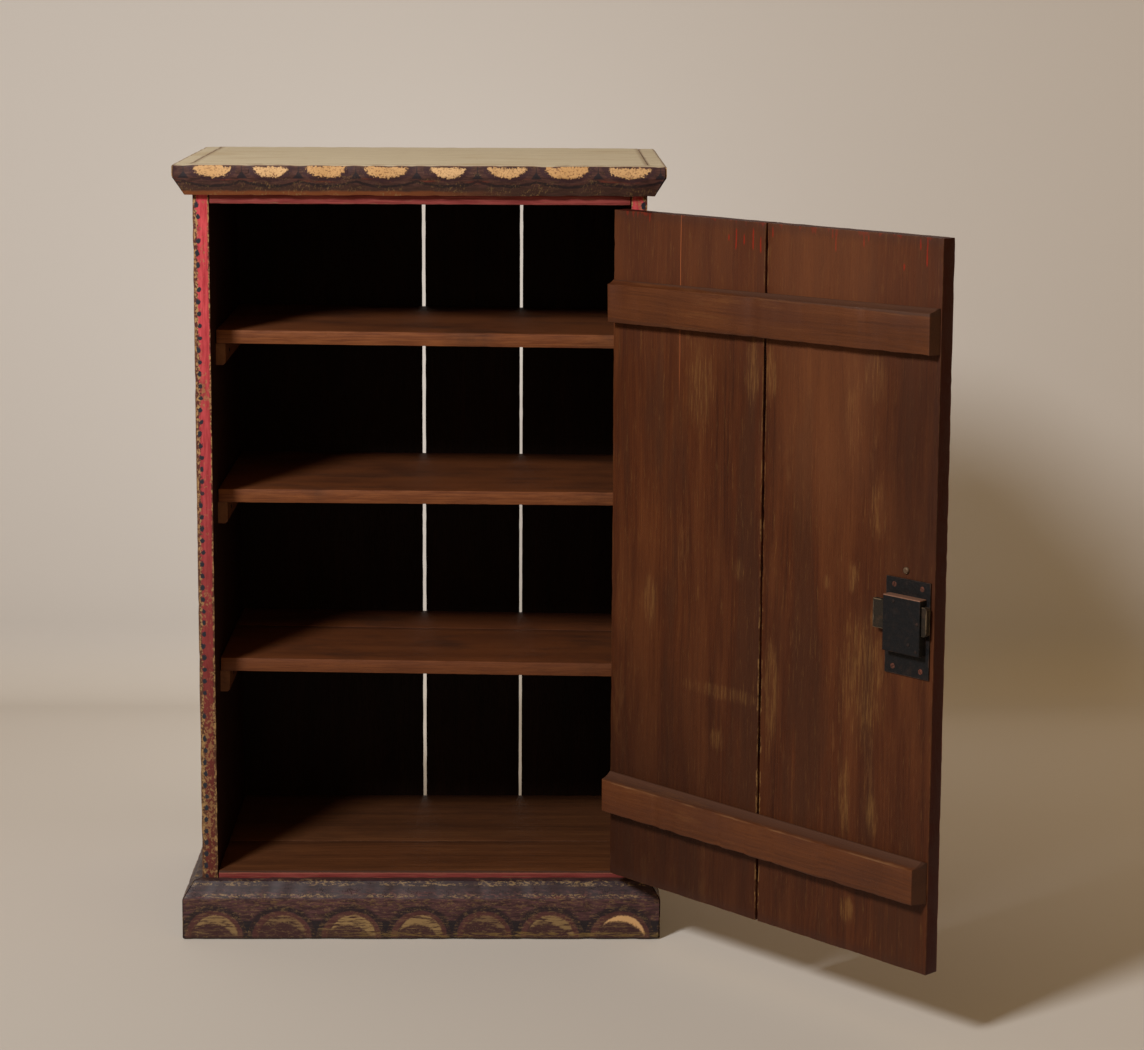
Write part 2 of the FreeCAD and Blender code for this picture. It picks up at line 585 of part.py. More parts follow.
# ---- the nodes ----
def carcass():
    """Sides, subtop, floor, shelves with cleats, back and top boards, mouldings, and their nails."""
    nodes = {}
    frame_holes = []
    for name, places in frame_nail_places().items():
        nodes[name] = Part.makeCompound([frame_nail(*place) for place in places])
        frame_holes += [frame_nail_hole(*place) for place in places]

    cleat_reach = CLEAT_WIDTH + NAIL_BITE
    cleat_nails = []
    for hand, side in ((-1, "left"), (1, "right")):
        outward = V(hand, 0, 0)
        tools = list(frame_holes)
        for name in SHELF_LEFT_TOPS:
            places = cleat_nail_places(name, hand)
            holes = [nail_hole(p, outward, cleat_reach) for p in places]
            tools += holes
            cleat_nails += [nail(p, outward, cleat_reach) for p in places]
            nodes["cleat_%s_%s" % (name, side)] = cut_all(cleat(name, hand), holes)
        if side == "left":
            tools.append(bolt_mortise())
        else:
            for z in HINGE_HEIGHTS.values():
                tools += [screw_hole(p, d, LEAF_THICKNESS) for p, d in hinge_screw_places(z, False)]
        x0, x1 = sorted((hand * INSIDE, hand * HALF_WIDTH))
        nodes["side_" + side] = cut_all(slab(x0, x1, 0, CARCASS_DEPTH, 0, SIDE_TOP), tools)
    nodes["cleat_nails"] = Part.makeCompound(cleat_nails)

    back_nail_reach = BACK_THICKNESS + NAIL_BITE
    heads = [place for span in BACK_BOARD_SPANS.values() for place in back_nail_places(span)]
    back_holes = [nail_hole(p, -BACK, back_nail_reach) for p in heads]
    nodes["back_nails"] = Part.makeCompound([nail(p, -BACK, back_nail_reach) for p in heads])
    for name, (x0, x1) in BACK_BOARD_SPANS.items():
        board = slab(x0, x1, CARCASS_DEPTH, BACK_FACE, 0, SIDE_TOP, ARRIS / 2)
        nodes["back_board_" + name] = cut_all(board, back_holes)

    level_boards = {
        "subtop": (0, CARCASS_DEPTH, SUBTOP_UNDERSIDE, SUBTOP_THICKNESS),
        "floor_board_front": (0, FLOOR_FRONT_BOARD_DEPTH, FLOOR_TOP - FLOOR_THICKNESS,
                              FLOOR_THICKNESS),
        "floor_board_rear": (FLOOR_FRONT_BOARD_DEPTH, CARCASS_DEPTH, FLOOR_TOP - FLOOR_THICKNESS,
                             FLOOR_THICKNESS),
    }
    for name, (y0, y1, z, thickness) in level_boards.items():
        board = box(-INSIDE, INSIDE, y0, y1, z, z + thickness)
        nodes[name] = cut_all(board, back_holes + frame_holes)
    top_board = box(-HALF_WIDTH, HALF_WIDTH, 0, BACK_FACE, SIDE_TOP, OVERALL_HEIGHT)
    nodes["top_board"] = cut_all(top_board, frame_holes)

    joint = SHELF_SETBACK + LOWER_SHELF_FRONT_BOARD_DEPTH
    nodes["shelf_upper"] = shelf_board("upper", SHELF_SETBACK, CARCASS_DEPTH)
    nodes["shelf_middle"] = shelf_board("middle", SHELF_SETBACK, CARCASS_DEPTH)
    nodes["shelf_lower_front"] = shelf_board("lower", SHELF_SETBACK, joint)
    nodes["shelf_lower_rear"] = shelf_board("lower", joint, CARCASS_DEPTH)

    for prefix, profile, z in (("cornice_", CORNICE_PROFILE, OVERALL_HEIGHT - CORNICE_HEIGHT),
                               ("plinth_", PLINTH_PROFILE, 0)):
        for name, piece in moulding(profile, z).items():
            nodes[prefix + name] = cut_all(piece, frame_holes)
    return nodes


def bolt_mortise():
    """The pocket in the left side that takes the thrown bolt when the door is shut."""
    c = MORTISE_CLEARANCE - BOLT_CLEARANCE
    run = bolt_room(CASE_FAR, CASE_FAR + BOLT_HEAD_OUT + BOLT_THROW + MORTISE_CLEARANCE).BoundBox
    return box(run.XMin, -INSIDE, run.YMin - c, run.YMax + c, run.ZMin - c, run.ZMax + c)


def door():
    """Planks, battens with their nails, and the lock, all swung to the rest angle."""
    lock_plank = HINGE_PLANK_WIDTH + PLANK_GAP
    edges = {"hinge": (0, HINGE_PLANK_WIDTH), "lock": (lock_plank, DOOR_WIDTH)}
    centres = {"upper": DOOR_TOP - UPPER_BATTEN["below_door_top"],
               "lower": DOOR_BOTTOM + LOWER_BATTEN["above_door_bottom"]}
    nodes, holes, nails = {}, [], []
    for name, spec in (("upper", UPPER_BATTEN), ("lower", LOWER_BATTEN)):
        reach = DOOR_THICKNESS + spec["thickness"] - BATTEN_NAIL_COVER
        places = batten_nail_places(spec, centres[name])
        bores = [nail_hole(p, BACK, reach) for p in places]
        nodes["batten_" + name] = cut_all(batten(spec, centres[name]), bores)
        nails += [nail(p, BACK, reach) for p in places]
        holes += bores
    nodes["batten_nails"] = Part.makeCompound(nails)

    for z in HINGE_HEIGHTS.values():
        holes += [screw_hole(p, d, LEAF_THICKNESS) for p, d in hinge_screw_places(z, True)]
    holes += [screw_hole(p, -BACK, LOCK_PLATE_THICKNESS) for p in lock_screw_places()]
    holes += [nail_hole(stud_place(), -BACK, NAIL_BITE), keyhole(0, DOOR_THICKNESS)]
    for name, (a0, a1) in edges.items():
        plank = slab(DOOR_HINGE_EDGE - a1, DOOR_HINGE_EDGE - a0, 0, DOOR_THICKNESS,
                     DOOR_BOTTOM, DOOR_TOP, ARRIS / 2)
        nodes["door_plank_" + name] = cut_all(plank, holes)

    nodes["lock_plate"] = lock_plate()
    nodes["lock_case"] = lock_case()
    nodes["lock_bolt"] = lock_bolt()
    nodes["lock_rivets"] = Part.makeCompound([rivet(p) for p in rivet_places()])
    nodes["lock_screws"] = Part.makeCompound(
        [screw(p, -BACK, LOCK_PLATE_THICKNESS) for p in lock_screw_places()])
    nodes["door_stud"] = nail(stud_place(), -BACK, NAIL_BITE, 2 * STUD_HEAD_RADIUS, STUD_HEAD_HEIGHT)
    return {name: opened(shape) for name, shape in nodes.items()}


def hinges():
    nodes, carcass_screws, door_screws = {}, [], []
    for name, z in HINGE_HEIGHTS.items():
        fixed = hinge_screw_places(z, False)
        moving = hinge_screw_places(z, True)
        fixed_holes = [screw_hole(p, d, LEAF_THICKNESS) for p, d in fixed]
        moving_holes = [screw_hole(p, d, LEAF_THICKNESS) for p, d in moving]
        nodes["hinge_%s_carcass_leaf" % name] = cut_all(hinge_leaf(z, False), fixed_holes)
        nodes["hinge_%s_door_leaf" % name] = opened(cut_all(hinge_leaf(z, True), moving_holes))
        nodes["hinge_%s_pin" % name] = hinge_pin(z)
        carcass_screws += [screw(p, d, LEAF_THICKNESS) for p, d in fixed]
        door_screws += [screw(p, d, LEAF_THICKNESS) for p, d in moving]
    nodes["hinge_screws_carcass"] = Part.makeCompound(carcass_screws)
    nodes["hinge_screws_door"] = opened(Part.makeCompound(door_screws))
    return nodes


def main():
    os.makedirs("parts", exist_ok=True)
    nodes = {}
    for group in (carcass(), door(), hinges()):
        nodes.update(group)
    for name, shape in sorted(nodes.items()):
        shape.exportStep("parts/%s.step" % name)
        print("%-24s solids %2d  volume %12.1f" % (name, len(shape.Solids), shape.Volume))


main()
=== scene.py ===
import bpy
import inspect
import json
import math
from mathutils import Matrix, Vector


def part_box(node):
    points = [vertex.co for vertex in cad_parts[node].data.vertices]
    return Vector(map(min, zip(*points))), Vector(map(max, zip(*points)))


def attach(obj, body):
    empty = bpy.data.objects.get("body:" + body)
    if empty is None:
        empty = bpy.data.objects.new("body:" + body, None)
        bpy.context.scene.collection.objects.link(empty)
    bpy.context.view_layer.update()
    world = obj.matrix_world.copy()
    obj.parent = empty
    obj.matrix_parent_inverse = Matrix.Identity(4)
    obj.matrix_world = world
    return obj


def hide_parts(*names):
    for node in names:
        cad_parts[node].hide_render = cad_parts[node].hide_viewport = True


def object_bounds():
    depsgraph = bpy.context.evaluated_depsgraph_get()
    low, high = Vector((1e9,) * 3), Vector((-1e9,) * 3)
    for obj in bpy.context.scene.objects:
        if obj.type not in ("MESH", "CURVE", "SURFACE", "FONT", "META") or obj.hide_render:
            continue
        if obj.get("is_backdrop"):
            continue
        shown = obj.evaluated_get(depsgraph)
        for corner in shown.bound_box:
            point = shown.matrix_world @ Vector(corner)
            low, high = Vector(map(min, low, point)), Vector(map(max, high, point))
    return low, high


# A small painted kas cupboard with its batten door standing open: boards, mouldings and battens
# modelled from their sizes with eased and worn arrises, and every finish made of shader nodes.
# Metres, in the cupboard's own frame. Finishes are written in millimetres.

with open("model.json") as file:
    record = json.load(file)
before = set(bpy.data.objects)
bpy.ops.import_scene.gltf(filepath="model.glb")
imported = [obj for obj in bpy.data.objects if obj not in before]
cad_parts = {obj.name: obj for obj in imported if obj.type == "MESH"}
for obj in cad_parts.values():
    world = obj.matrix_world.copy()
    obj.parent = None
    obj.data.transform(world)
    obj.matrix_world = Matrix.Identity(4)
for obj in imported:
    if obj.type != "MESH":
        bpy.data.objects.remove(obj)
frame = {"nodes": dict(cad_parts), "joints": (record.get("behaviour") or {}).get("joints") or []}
cad_low, cad_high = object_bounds()
NODES = frame["nodes"]
MM = 1000                        # millimetres in a metre
MERGE = 0.00001                  # points nearer than this are one


def box_of(node):
    return tuple(Vector(p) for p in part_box(node))


# ---- the cupboard's main places, read from its nodes ----
TOP_LOW, TOP_HIGH = box_of("top_board")
SIDE_LOW, SIDE_HIGH = box_of("side_right")
HALF_WIDTH = SIDE_HIGH.x
HEIGHT = TOP_HIGH.z
BACK_FACE = TOP_HIGH.y
PIN = Vector(next(j for j in frame["joints"] if j["name"] == "door_hinge")["pos_m"])
OPEN_ANGLE = math.radians(133)
SWING = (Matrix.Translation(PIN) @ Matrix.Rotation(OPEN_ANGLE, 4, "Z")
         @ Matrix.Translation(-PIN))
SHUT = SWING.inverted()


# =====================================================================================
# Joinery: pieces built from primitives at their size and place
# =====================================================================================
def deselect():
    bpy.ops.object.select_all(action="DESELECT")


def hold(piece):
    """Makes a piece the only one picked up."""
    deselect()
    piece.select_set(True)
    bpy.context.view_layer.objects.active = piece


def settle(piece):
    """Leaves a piece's object at the origin, unturned and unscaled."""
    hold(piece)
    bpy.ops.object.transform_apply(location=True, rotation=True, scale=True)


def move(piece, place):
    piece.location = place
    settle(piece)


def open_up(piece):
    """Opens edit mode on all of a piece."""
    hold(piece)
    bpy.ops.object.mode_set(mode="EDIT")
    bpy.ops.mesh.select_all(action="SELECT")


def pick(piece, edge_rule=None, vertex_rule=None):
    """Selects the edges or vertices that a rule accepts and opens edit mode on them."""
    open_up(piece)
    bpy.ops.mesh.select_mode(type="EDGE" if edge_rule else "VERT")
    bpy.ops.mesh.select_all(action="DESELECT")
    done()
    mesh = piece.data
    if edge_rule:
        for e in mesh.edges:
            e.select = edge_rule(*(mesh.vertices[i].co for i in e.vertices))
    else:
        for v in mesh.vertices:
            v.select = vertex_rule(v.co)
    bpy.ops.object.mode_set(mode="EDIT")


def done():
    bpy.ops.object.mode_set(mode="OBJECT")


def block(name, low, high):
    """A squared piece of stock between two corners."""
    deselect()
    low, high = Vector(low), Vector(high)
    bpy.ops.mesh.primitive_cube_add(size=1, location=(low + high) / 2)
    piece = bpy.context.object
    piece.name = name
    piece.scale = high - low
    settle(piece)
    return piece


def rod(name, radius, length, place, turn, sides):
    """A round bar along Y."""
    deselect()
    bpy.ops.mesh.primitive_cylinder_add(vertices=sides, radius=radius, depth=length,
                                        location=place, rotation=(turn, 0, 0))
    piece = bpy.context.object
    piece.name = name
    settle(piece)
    return piece


def saw(piece, point, outward):
    """Cuts off what lies outward of a plane and closes the cut."""
    open_up(piece)
    bpy.ops.mesh.bisect(plane_co=point, plane_no=Vector(outward).normalized(), use_fill=True,
                        clear_outer=True, threshold=MERGE)
    done()


def ease(piece, width, segments=2, edge_rule=lambda a, b: True):
    """Takes the sharpness off all edges, or off those that a rule accepts."""
    pick(piece, edge_rule)
    bpy.ops.mesh.bevel(offset=width, segments=segments, affect="EDGES")
    done()


def divide(piece, axis, pitch):
    """Cuts the long edges along one axis into short lengths, so that they can wear unevenly."""
    spots = [v.co[axis] for v in piece.data.vertices]
    reach = max(spots) - min(spots)

    def runs_along(a, b):
        step = b - a
        return abs(step[axis]) > 0.5 * reach and abs(step[axis]) > 0.9 * step.length

    pick(piece, runs_along)
    bpy.ops.mesh.subdivide(number_cuts=max(1, round(reach / pitch) - 1))
    done()


def finish_off(piece, name, kind, **settings):
    """Puts a modifier on a piece and applies it."""
    hold(piece)
    step = piece.modifiers.new(name, kind)
    for label, value in settings.items():
        setattr(step, label, value)
    bpy.ops.object.modifier_apply(modifier=step.name)


def cut_away(piece, cutter):
    """Takes a cutter's shape out of a piece and throws the cutter away."""
    finish_off(piece, "cut", "BOOLEAN", operation="DIFFERENCE", solver="EXACT", object=cutter)
    bpy.data.objects.remove(cutter)


def hollow_out(piece, low, high):
    """Cuts a rectangular pocket or slot out of a piece."""
    cut_away(piece, block("chisel", low, high))


def bore(piece, x, z, radius, start, stop):
    """Drills a round hole along Y through a piece."""
    cut_away(piece, rod("drill", radius, stop - start, (x, (start + stop) / 2, z), math.pi / 2, 32))


def worn_texture(name, size, contrast, brightness, depth=1):
    texture = bpy.data.textures.new(name, "CLOUDS")
    texture.noise_scale = size
    texture.noise_depth = depth
    texture.contrast = contrast
    texture.intensity = brightness
    texture.use_clamp = True
    return texture


ARRIS_WEAR = worn_texture("arris_wear", 0.016, 1.6, 0.9, 2)
ARRIS_CHIPS = worn_texture("arris_chips", 0.021, 4.5, 0.52)
HAND_PLANING = worn_texture("hand_planing", 0.075, 1.0, 1.0)
ARRIS_REACH = 0.0028             # how far wear reaches in from a board's edges


def press_in(piece, texture, depth, group=""):
    """Wears a surface inwards, never outwards, by at most depth."""
    finish_off(piece, "wear", "DISPLACE", texture=texture, texture_coords="LOCAL", mid_level=0.0,
               strength=-depth, vertex_group=group)


def smooth(piece, angle=35):
    hold(piece)
    bpy.ops.object.shade_smooth_by_angle(angle=math.radians(angle))


def mark(piece, rule):
    """Puts the vertices that a rule accepts in a group, for wear that only they get."""
    chosen = [v.index for v in piece.data.vertices if rule(v.co)]
    piece.vertex_groups.new(name="arris").add(chosen, 1.0, "REPLACE")


def wear_arrises(piece, rub, chips, angle=35):
    """Rubs and chips the marked vertices, and shades the piece."""
    press_in(piece, ARRIS_WEAR, rub, "arris")
    press_in(piece, ARRIS_CHIPS, chips, "arris")
    piece.vertex_groups.clear()
    smooth(piece, angle)


def corners(points):
    """The lowest and highest corner of the box round some points."""
    return tuple(Vector([end(p[i] for p in points) for i in range(3)]) for end in (min, max))


def board(name, low, high, arris=0.0010, pitch=0.005, cross_pitch=0.012, shrink=0.0001,
          rub=0.0003, chips=0.0005, planing=0.0002):
    """A planed board: squared stock, eased, cut into a grid and worn along its edges."""
    low, high = Vector(low), Vector(high)
    gap = Vector((shrink, shrink, shrink))
    piece = block(name, low + gap, high - gap)
    ease(piece, arris)
    size = high - low
    order = sorted(range(3), key=lambda i: -size[i])
    divide(piece, order[0], pitch)
    divide(piece, order[1], cross_pitch)
    low, high = corners([v.co for v in piece.data.vertices])
    mark(piece, lambda p: sorted(min(p[i] - low[i], high[i] - p[i])
                                 for i in range(3))[1] < ARRIS_REACH)
    press_in(piece, HAND_PLANING, planing)
    wear_arrises(piece, rub, chips)
    return piece


def dress(piece, body, slot, material, *nodes):
    """Finishes a piece: its material, the body it rides on and the nodes it stands for."""
    piece.data.materials.clear()
    piece.data.materials.append(material)
    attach(piece, body)
    if nodes:
        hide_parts(*nodes)


def swing_open(piece):
    """Turns a door piece that was made with the door shut to where it stands."""
    piece.matrix_world = SWING
    settle(piece)


def shut_box(node):
    """A door node's lowest and highest corner with the door shut."""
    return corners([SHUT @ v.co for v in NODES[node].data.vertices])


def forged_copy(node, name, edge):
    """An iron piece from its own node's shape: merged, its facets dissolved, its edges filed."""
    piece = bpy.data.objects.new(name, NODES[node].data.copy())
    bpy.context.scene.collection.objects.link(piece)
    open_up(piece)
    bpy.ops.mesh.remove_doubles(threshold=MERGE)
    bpy.ops.mesh.dissolve_limited(angle_limit=math.radians(1))
    bpy.ops.mesh.normals_make_consistent(inside=False)
    done()
    finish_off(piece, "filed", "BEVEL", width=edge, segments=2, limit_method="ANGLE",
               angle_limit=math.radians(38))
    smooth(piece, 40)
    finish_off(piece, "flat", "WEIGHTED_NORMAL", keep_sharp=True)
    return piece


# =====================================================================================
# Finishes: shader nodes written as sums on places in millimetres
# =====================================================================================
def tint(*colour):
    """A colour as a paint chart gives it, 0 to 255, for a shader socket."""
    def straight(c):
        return c / 12.92 if c <= 0.04045 else ((c + 0.055) / 1.055) ** 2.4
    return (*(straight(c / 255) for c in colour), 1.0)


def join(tree, slot, value):
    """Feeds a socket with a wire, a number, a place or a colour of the paint chart."""
    if isinstance(value, Wire):
        tree.links.new(value.socket, slot)
    else:
        slot.default_value = tint(*value) if slot.type == "RGBA" else value


def place_node(kind, values, **settings):
    """Adds a node to the tree of its first wired value and feeds its sockets in order."""
    tree = next(v.tree for v in values if isinstance(v, Wire))
    node = tree.nodes.new("ShaderNode" + kind)
    for label, value in settings.items():
        setattr(node, label, value)
    for slot, value in zip(node.inputs, values):
        join(tree, slot, value)
    return node


class Wire:
    """A value on its way through a node tree. Sums on it add Math nodes."""

    def __init__(self, tree, socket):
        self.tree, self.socket = tree, socket

    def sum(self, operation, *others):
        return Wire(self.tree, place_node("Math", (self, *others), operation=operation).outputs[0])

    def __add__(self, other):
        return self.sum("ADD", other)

    def __sub__(self, other):
        return self.sum("SUBTRACT", other)

    def __mul__(self, other):
        return self.sum("MULTIPLY", other)

    def __truediv__(self, other):
        return self.sum("DIVIDE", other)

    def __pow__(self, other):
        return self.sum("POWER", other)

    def __neg__(self):
        return self.sum("MULTIPLY", -1.0)

    __radd__, __rmul__ = __add__, __mul__

    def __rsub__(self, other):
        return self.sum("MULTIPLY_ADD", -1.0, other)

    def size(self):
        return self.sum("ABSOLUTE")

    def at_least(self, other):
        return self.sum("MAXIMUM", other)

    def at_most(self, other):
        return self.sum("MINIMUM", other)

    def rise(self, low, high):
        """0 below low, 1 above high, smooth between them; falls if low is above high."""
        ends = (1.0, 0.0) if low > high else (0.0, 1.0)
        node = place_node("MapRange", (self, min(low, high), max(low, high), *ends),
                          interpolation_type="SMOOTHSTEP")
        return Wire(self.tree, node.outputs["Result"])


def spread(place, factors, offset=(0, 0, 0)):
    """Stretches a place by one factor a side, and shifts it."""
    node = place_node("VectorMath", (place, factors, offset), operation="MULTIPLY_ADD")
    return Wire(node.id_data, node.outputs[0])


def mottle(place, factors, detail=2.0, rough=0.5, offset=(0, 0, 0)):
    """Soft noise, 0 to 1, with one frequency a side."""
    node = place_node("TexNoise", (spread(place, factors, offset),))
    for label, value in (("Scale", 1.0), ("Detail", detail), ("Roughness", rough)):
        node.inputs[label].default_value = value
    return Wire(place.tree, node.outputs[0])


def sides_of(place):
    node = place_node("SeparateXYZ", (place,))
    return tuple(Wire(place.tree, s) for s in node.outputs)


def place_of(x, y, z):
    if not any(isinstance(v, Wire) for v in (x, y, z)):
        return (x, y, z)
    node = place_node("CombineXYZ", (x, y, z))
    return Wire(node.id_data, node.outputs[0])


def blend(amount, under, over):
    """One colour laid over another by an amount."""
    node = place_node("Mix", (amount,), data_type="RGBA")
    join(amount.tree, node.inputs[6], under)
    join(amount.tree, node.inputs[7], over)
    return Wire(amount.tree, node.outputs[2])


KINDS = {"place": "Vector", "middle": "Vector", "half": "Vector", "colour": "Color",
         "dark": "Color", "mid": "Color", "light": "Color", "rust": "Color", "bare": "Color"}


def recipe(gives):
    """Makes the function below a shader node group, which it then places where it is called.
    Its inputs are named for what the function takes, its outputs as gives says."""
    def build(make):
        group = bpy.data.node_groups.new(make.__name__, "ShaderNodeTree")
        labels = list(inspect.signature(make).parameters)
        for way, ends in (("INPUT", labels), ("OUTPUT", gives.split())):
            for label in ends:
                group.interface.new_socket(name=label.capitalize(), in_out=way,
                                           socket_type="NodeSocket" + KINDS.get(label, "Float"))
        enter = group.nodes.new("NodeGroupInput")
        leave = group.nodes.new("NodeGroupOutput")
        results = make(*[Wire(group, s) for s in enter.outputs if s.name])
        for slot, value in zip(leave.inputs, (results,) if isinstance(results, Wire) else results):
            join(group, slot, value)

        def lay(*values, **named):
            values += tuple(named[label] for label in labels[len(values):])
            node = place_node("Group", values, node_tree=group)
            outs = tuple(Wire(node.id_data, s) for s in node.outputs)
            return outs[0] if len(outs) == 1 else outs
        return lay
    return build


# ---- wood ----
@recipe("streaks broad rings pores")
def wood_grain(place, seed):
    """Streaks, broad tones, growth rings and pores, with the grain along Z."""
    put = spread(place, (1, 1, 1), place_of(seed * 137.0, seed * 71.0, seed * 53.0))
    bend = mottle(put, (0.011, 0.011, 0.0035), 2) - 0.5
    x, y, z = sides_of(put)
    bent = place_of(x + bend * 26.0, y + bend * 9.0, z)
    streaks = mottle(bent, (0.52, 0.52, 0.007), 4, 0.62)
    broad = mottle(bent, (0.034, 0.034, 0.0016), 4, 0.58)
    x, y, z = sides_of(bent)
    ring = mottle(bent, (0.02, 0.02, 0.001), 2)
    rings = ((x + y * 0.6 + ring * 90.0) * 0.58).sum("SINE") * 0.5 + 0.5
    pores = mottle(bent, (1.5, 1.5, 0.055), 2, 0.6).rise(0.56, 0.72)
    return streaks, broad, rings, pores


@recipe("edge")
def worn_edges(place, middle, half, reach, seed):
    """How near a place is to the edges of its squared stock, made ragged."""
    apart = sides_of(spread(middle, (-1, -1, -1), place))
    x, y, z = ((h - v.size()).at_least(0.0) for h, v in zip(sides_of(half), apart))
    pairs = [(a * a + b * b) ** 0.5 for a, b in ((x, y), (y, z), (x, z))]
    near = pairs[0].at_most(pairs[1]).at_most(pairs[2])
    ragged = mottle(place, (0.12, 0.12, 0.07), 4, 0.65,
                    place_of(seed * 19.0, seed * 7.0, seed * 31.0))
    return (near - reach * (ragged * 3.2 - 1.15)).rise(0.45, -0.35)


@recipe("colour height cloud")
def aged_wood(place, seed, dark, mid, light):
    """Aged softwood or hardwood: tone in three colours, pores, a dull bloom and a height."""
    streaks, broad, rings, pores = wood_grain(place, seed)
    tone = streaks * 0.50 + broad * 0.60 + rings * 0.05 - 0.08
    low = blend(tone.rise(0.20, 0.55), dark, mid)
    colour = blend(tone.rise(0.48, 0.86), low, light)
    cloud = mottle(place, (0.012, 0.012, 0.007), 3, 0.6)
    colour = blend(cloud.rise(0.42, 0.68) * 0.30, colour, dark)
    colour = blend(pores * 0.30, colour, dark)
    height = streaks * 0.5 + rings * 0.05 - pores * 0.5
    return colour, height, cloud


@recipe("rub")
def rubbed_streaks(place, along, across, amount, seed):
    """Pale streaks rubbed along the grain (Z), in patches; along and across set their size."""
    shift = place_of(seed * 11.0, seed * 43.0, seed * 5.0)
    x, y, z = sides_of(place)
    drawn = place_of(x / across, y / across, z / along)
    fine = mottle(drawn, (0.9, 0.9, 0.9), 4, 0.68, shift)
    patch = mottle(drawn, (0.16, 0.16, 0.16), 2, 0.5, shift)
    return (fine * 0.55 + patch * 0.75 + amount).rise(0.74, 0.86)


# ---- painted bands ----
@recipe("fleck")
def paint_flecks(place, cover):
    """Worn-through flecks in old paint: fine, broken and gathered in drifts."""
    fine = mottle(place, (0.55, 0.55, 0.75), 3, 0.7)
    drift = mottle(place, (0.05, 0.05, 0.12), 2, 0.5, (7, 3, 1))
    return (fine * 0.8 + drift * 0.55 + cover).rise(0.80, 0.90)


@recipe("colour height")
def khaki_top_paint(place):
    """The pale top: thin khaki paint brushed from side to side, with brown strokes and stains."""
    brush = mottle(place, (0.016, 0.35, 0.35), 5, 0.6)
    stain = mottle(place, (0.006, 0.02, 0.02), 4, 0.6)
    colour = blend(brush.rise(0.3, 0.7), (190, 177, 150), (211, 200, 173))
    colour = blend(stain.rise(0.52, 0.72) * 0.5, colour, (178, 154, 110))
    stroke = mottle(place, (0.02, 0.30, 0.2), 4, 0.65, (3, 9, 2)).rise(0.60, 0.70)
    colour = blend(stroke * 0.45, colour, (142, 112, 74))
    fleck = paint_flecks(place, -0.02)
    colour = blend(fleck * 0.6, colour, (120, 88, 56))
    return colour, brush - fleck * 0.5


CORNICE_PITCH = 74.0
PLINTH_PITCH = 86.0
LUNETTES = (-255.8, -185.4, -115.1, -42.4, 36.1, 108.8, 181.4, 262.8)
ARCHES = (-268.1, -181.3, -90.4, -1.9, 80.8, 163.5, 258.6)


def counted(along, centres, pitch):
    """Counts along a row of listed centres: whole numbers fall on the centres."""
    reach = 400.0                 # millimetres either way that the count goes on for
    before, after = 5.0, 4.0      # room in the curve for counts before and after the centres
    total = before + len(centres) + after
    node = along.tree.nodes.new("ShaderNodeFloatCurve")
    curve = node.mapping.curves[0]

    def put(mm, count):
        return (mm + reach) / (2 * reach), (count + before) / total

    ends = [put(-reach, -(centres[0] + reach) / pitch),
            put(reach, len(centres) - 1 + (reach - centres[-1]) / pitch)]
    curve.points[0].location, curve.points[1].location = ends
    for count, mm in enumerate(centres):
        curve.points.new(*put(mm, count))
    for point in curve.points:
        point.handle_type = "VECTOR"
    node.mapping.update()
    join(along.tree, node.inputs["Value"], (along + reach) / (2 * reach))
    return Wire(along.tree, node.outputs[0]) * total - before


def cell(count, pitch):
    """Distance from the nearest centre, and a number of its own for each one."""
    across = ((count + 0.5).sum("FRACT") - 0.5) * pitch
    node = count.tree.nodes.new("ShaderNodeTexWhiteNoise")
    node.noise_dimensions = "1D"
    join(count.tree, node.inputs["W"], (count + 0.5).sum("FLOOR"))
    return across, Wire(count.tree, node.outputs["Value"])


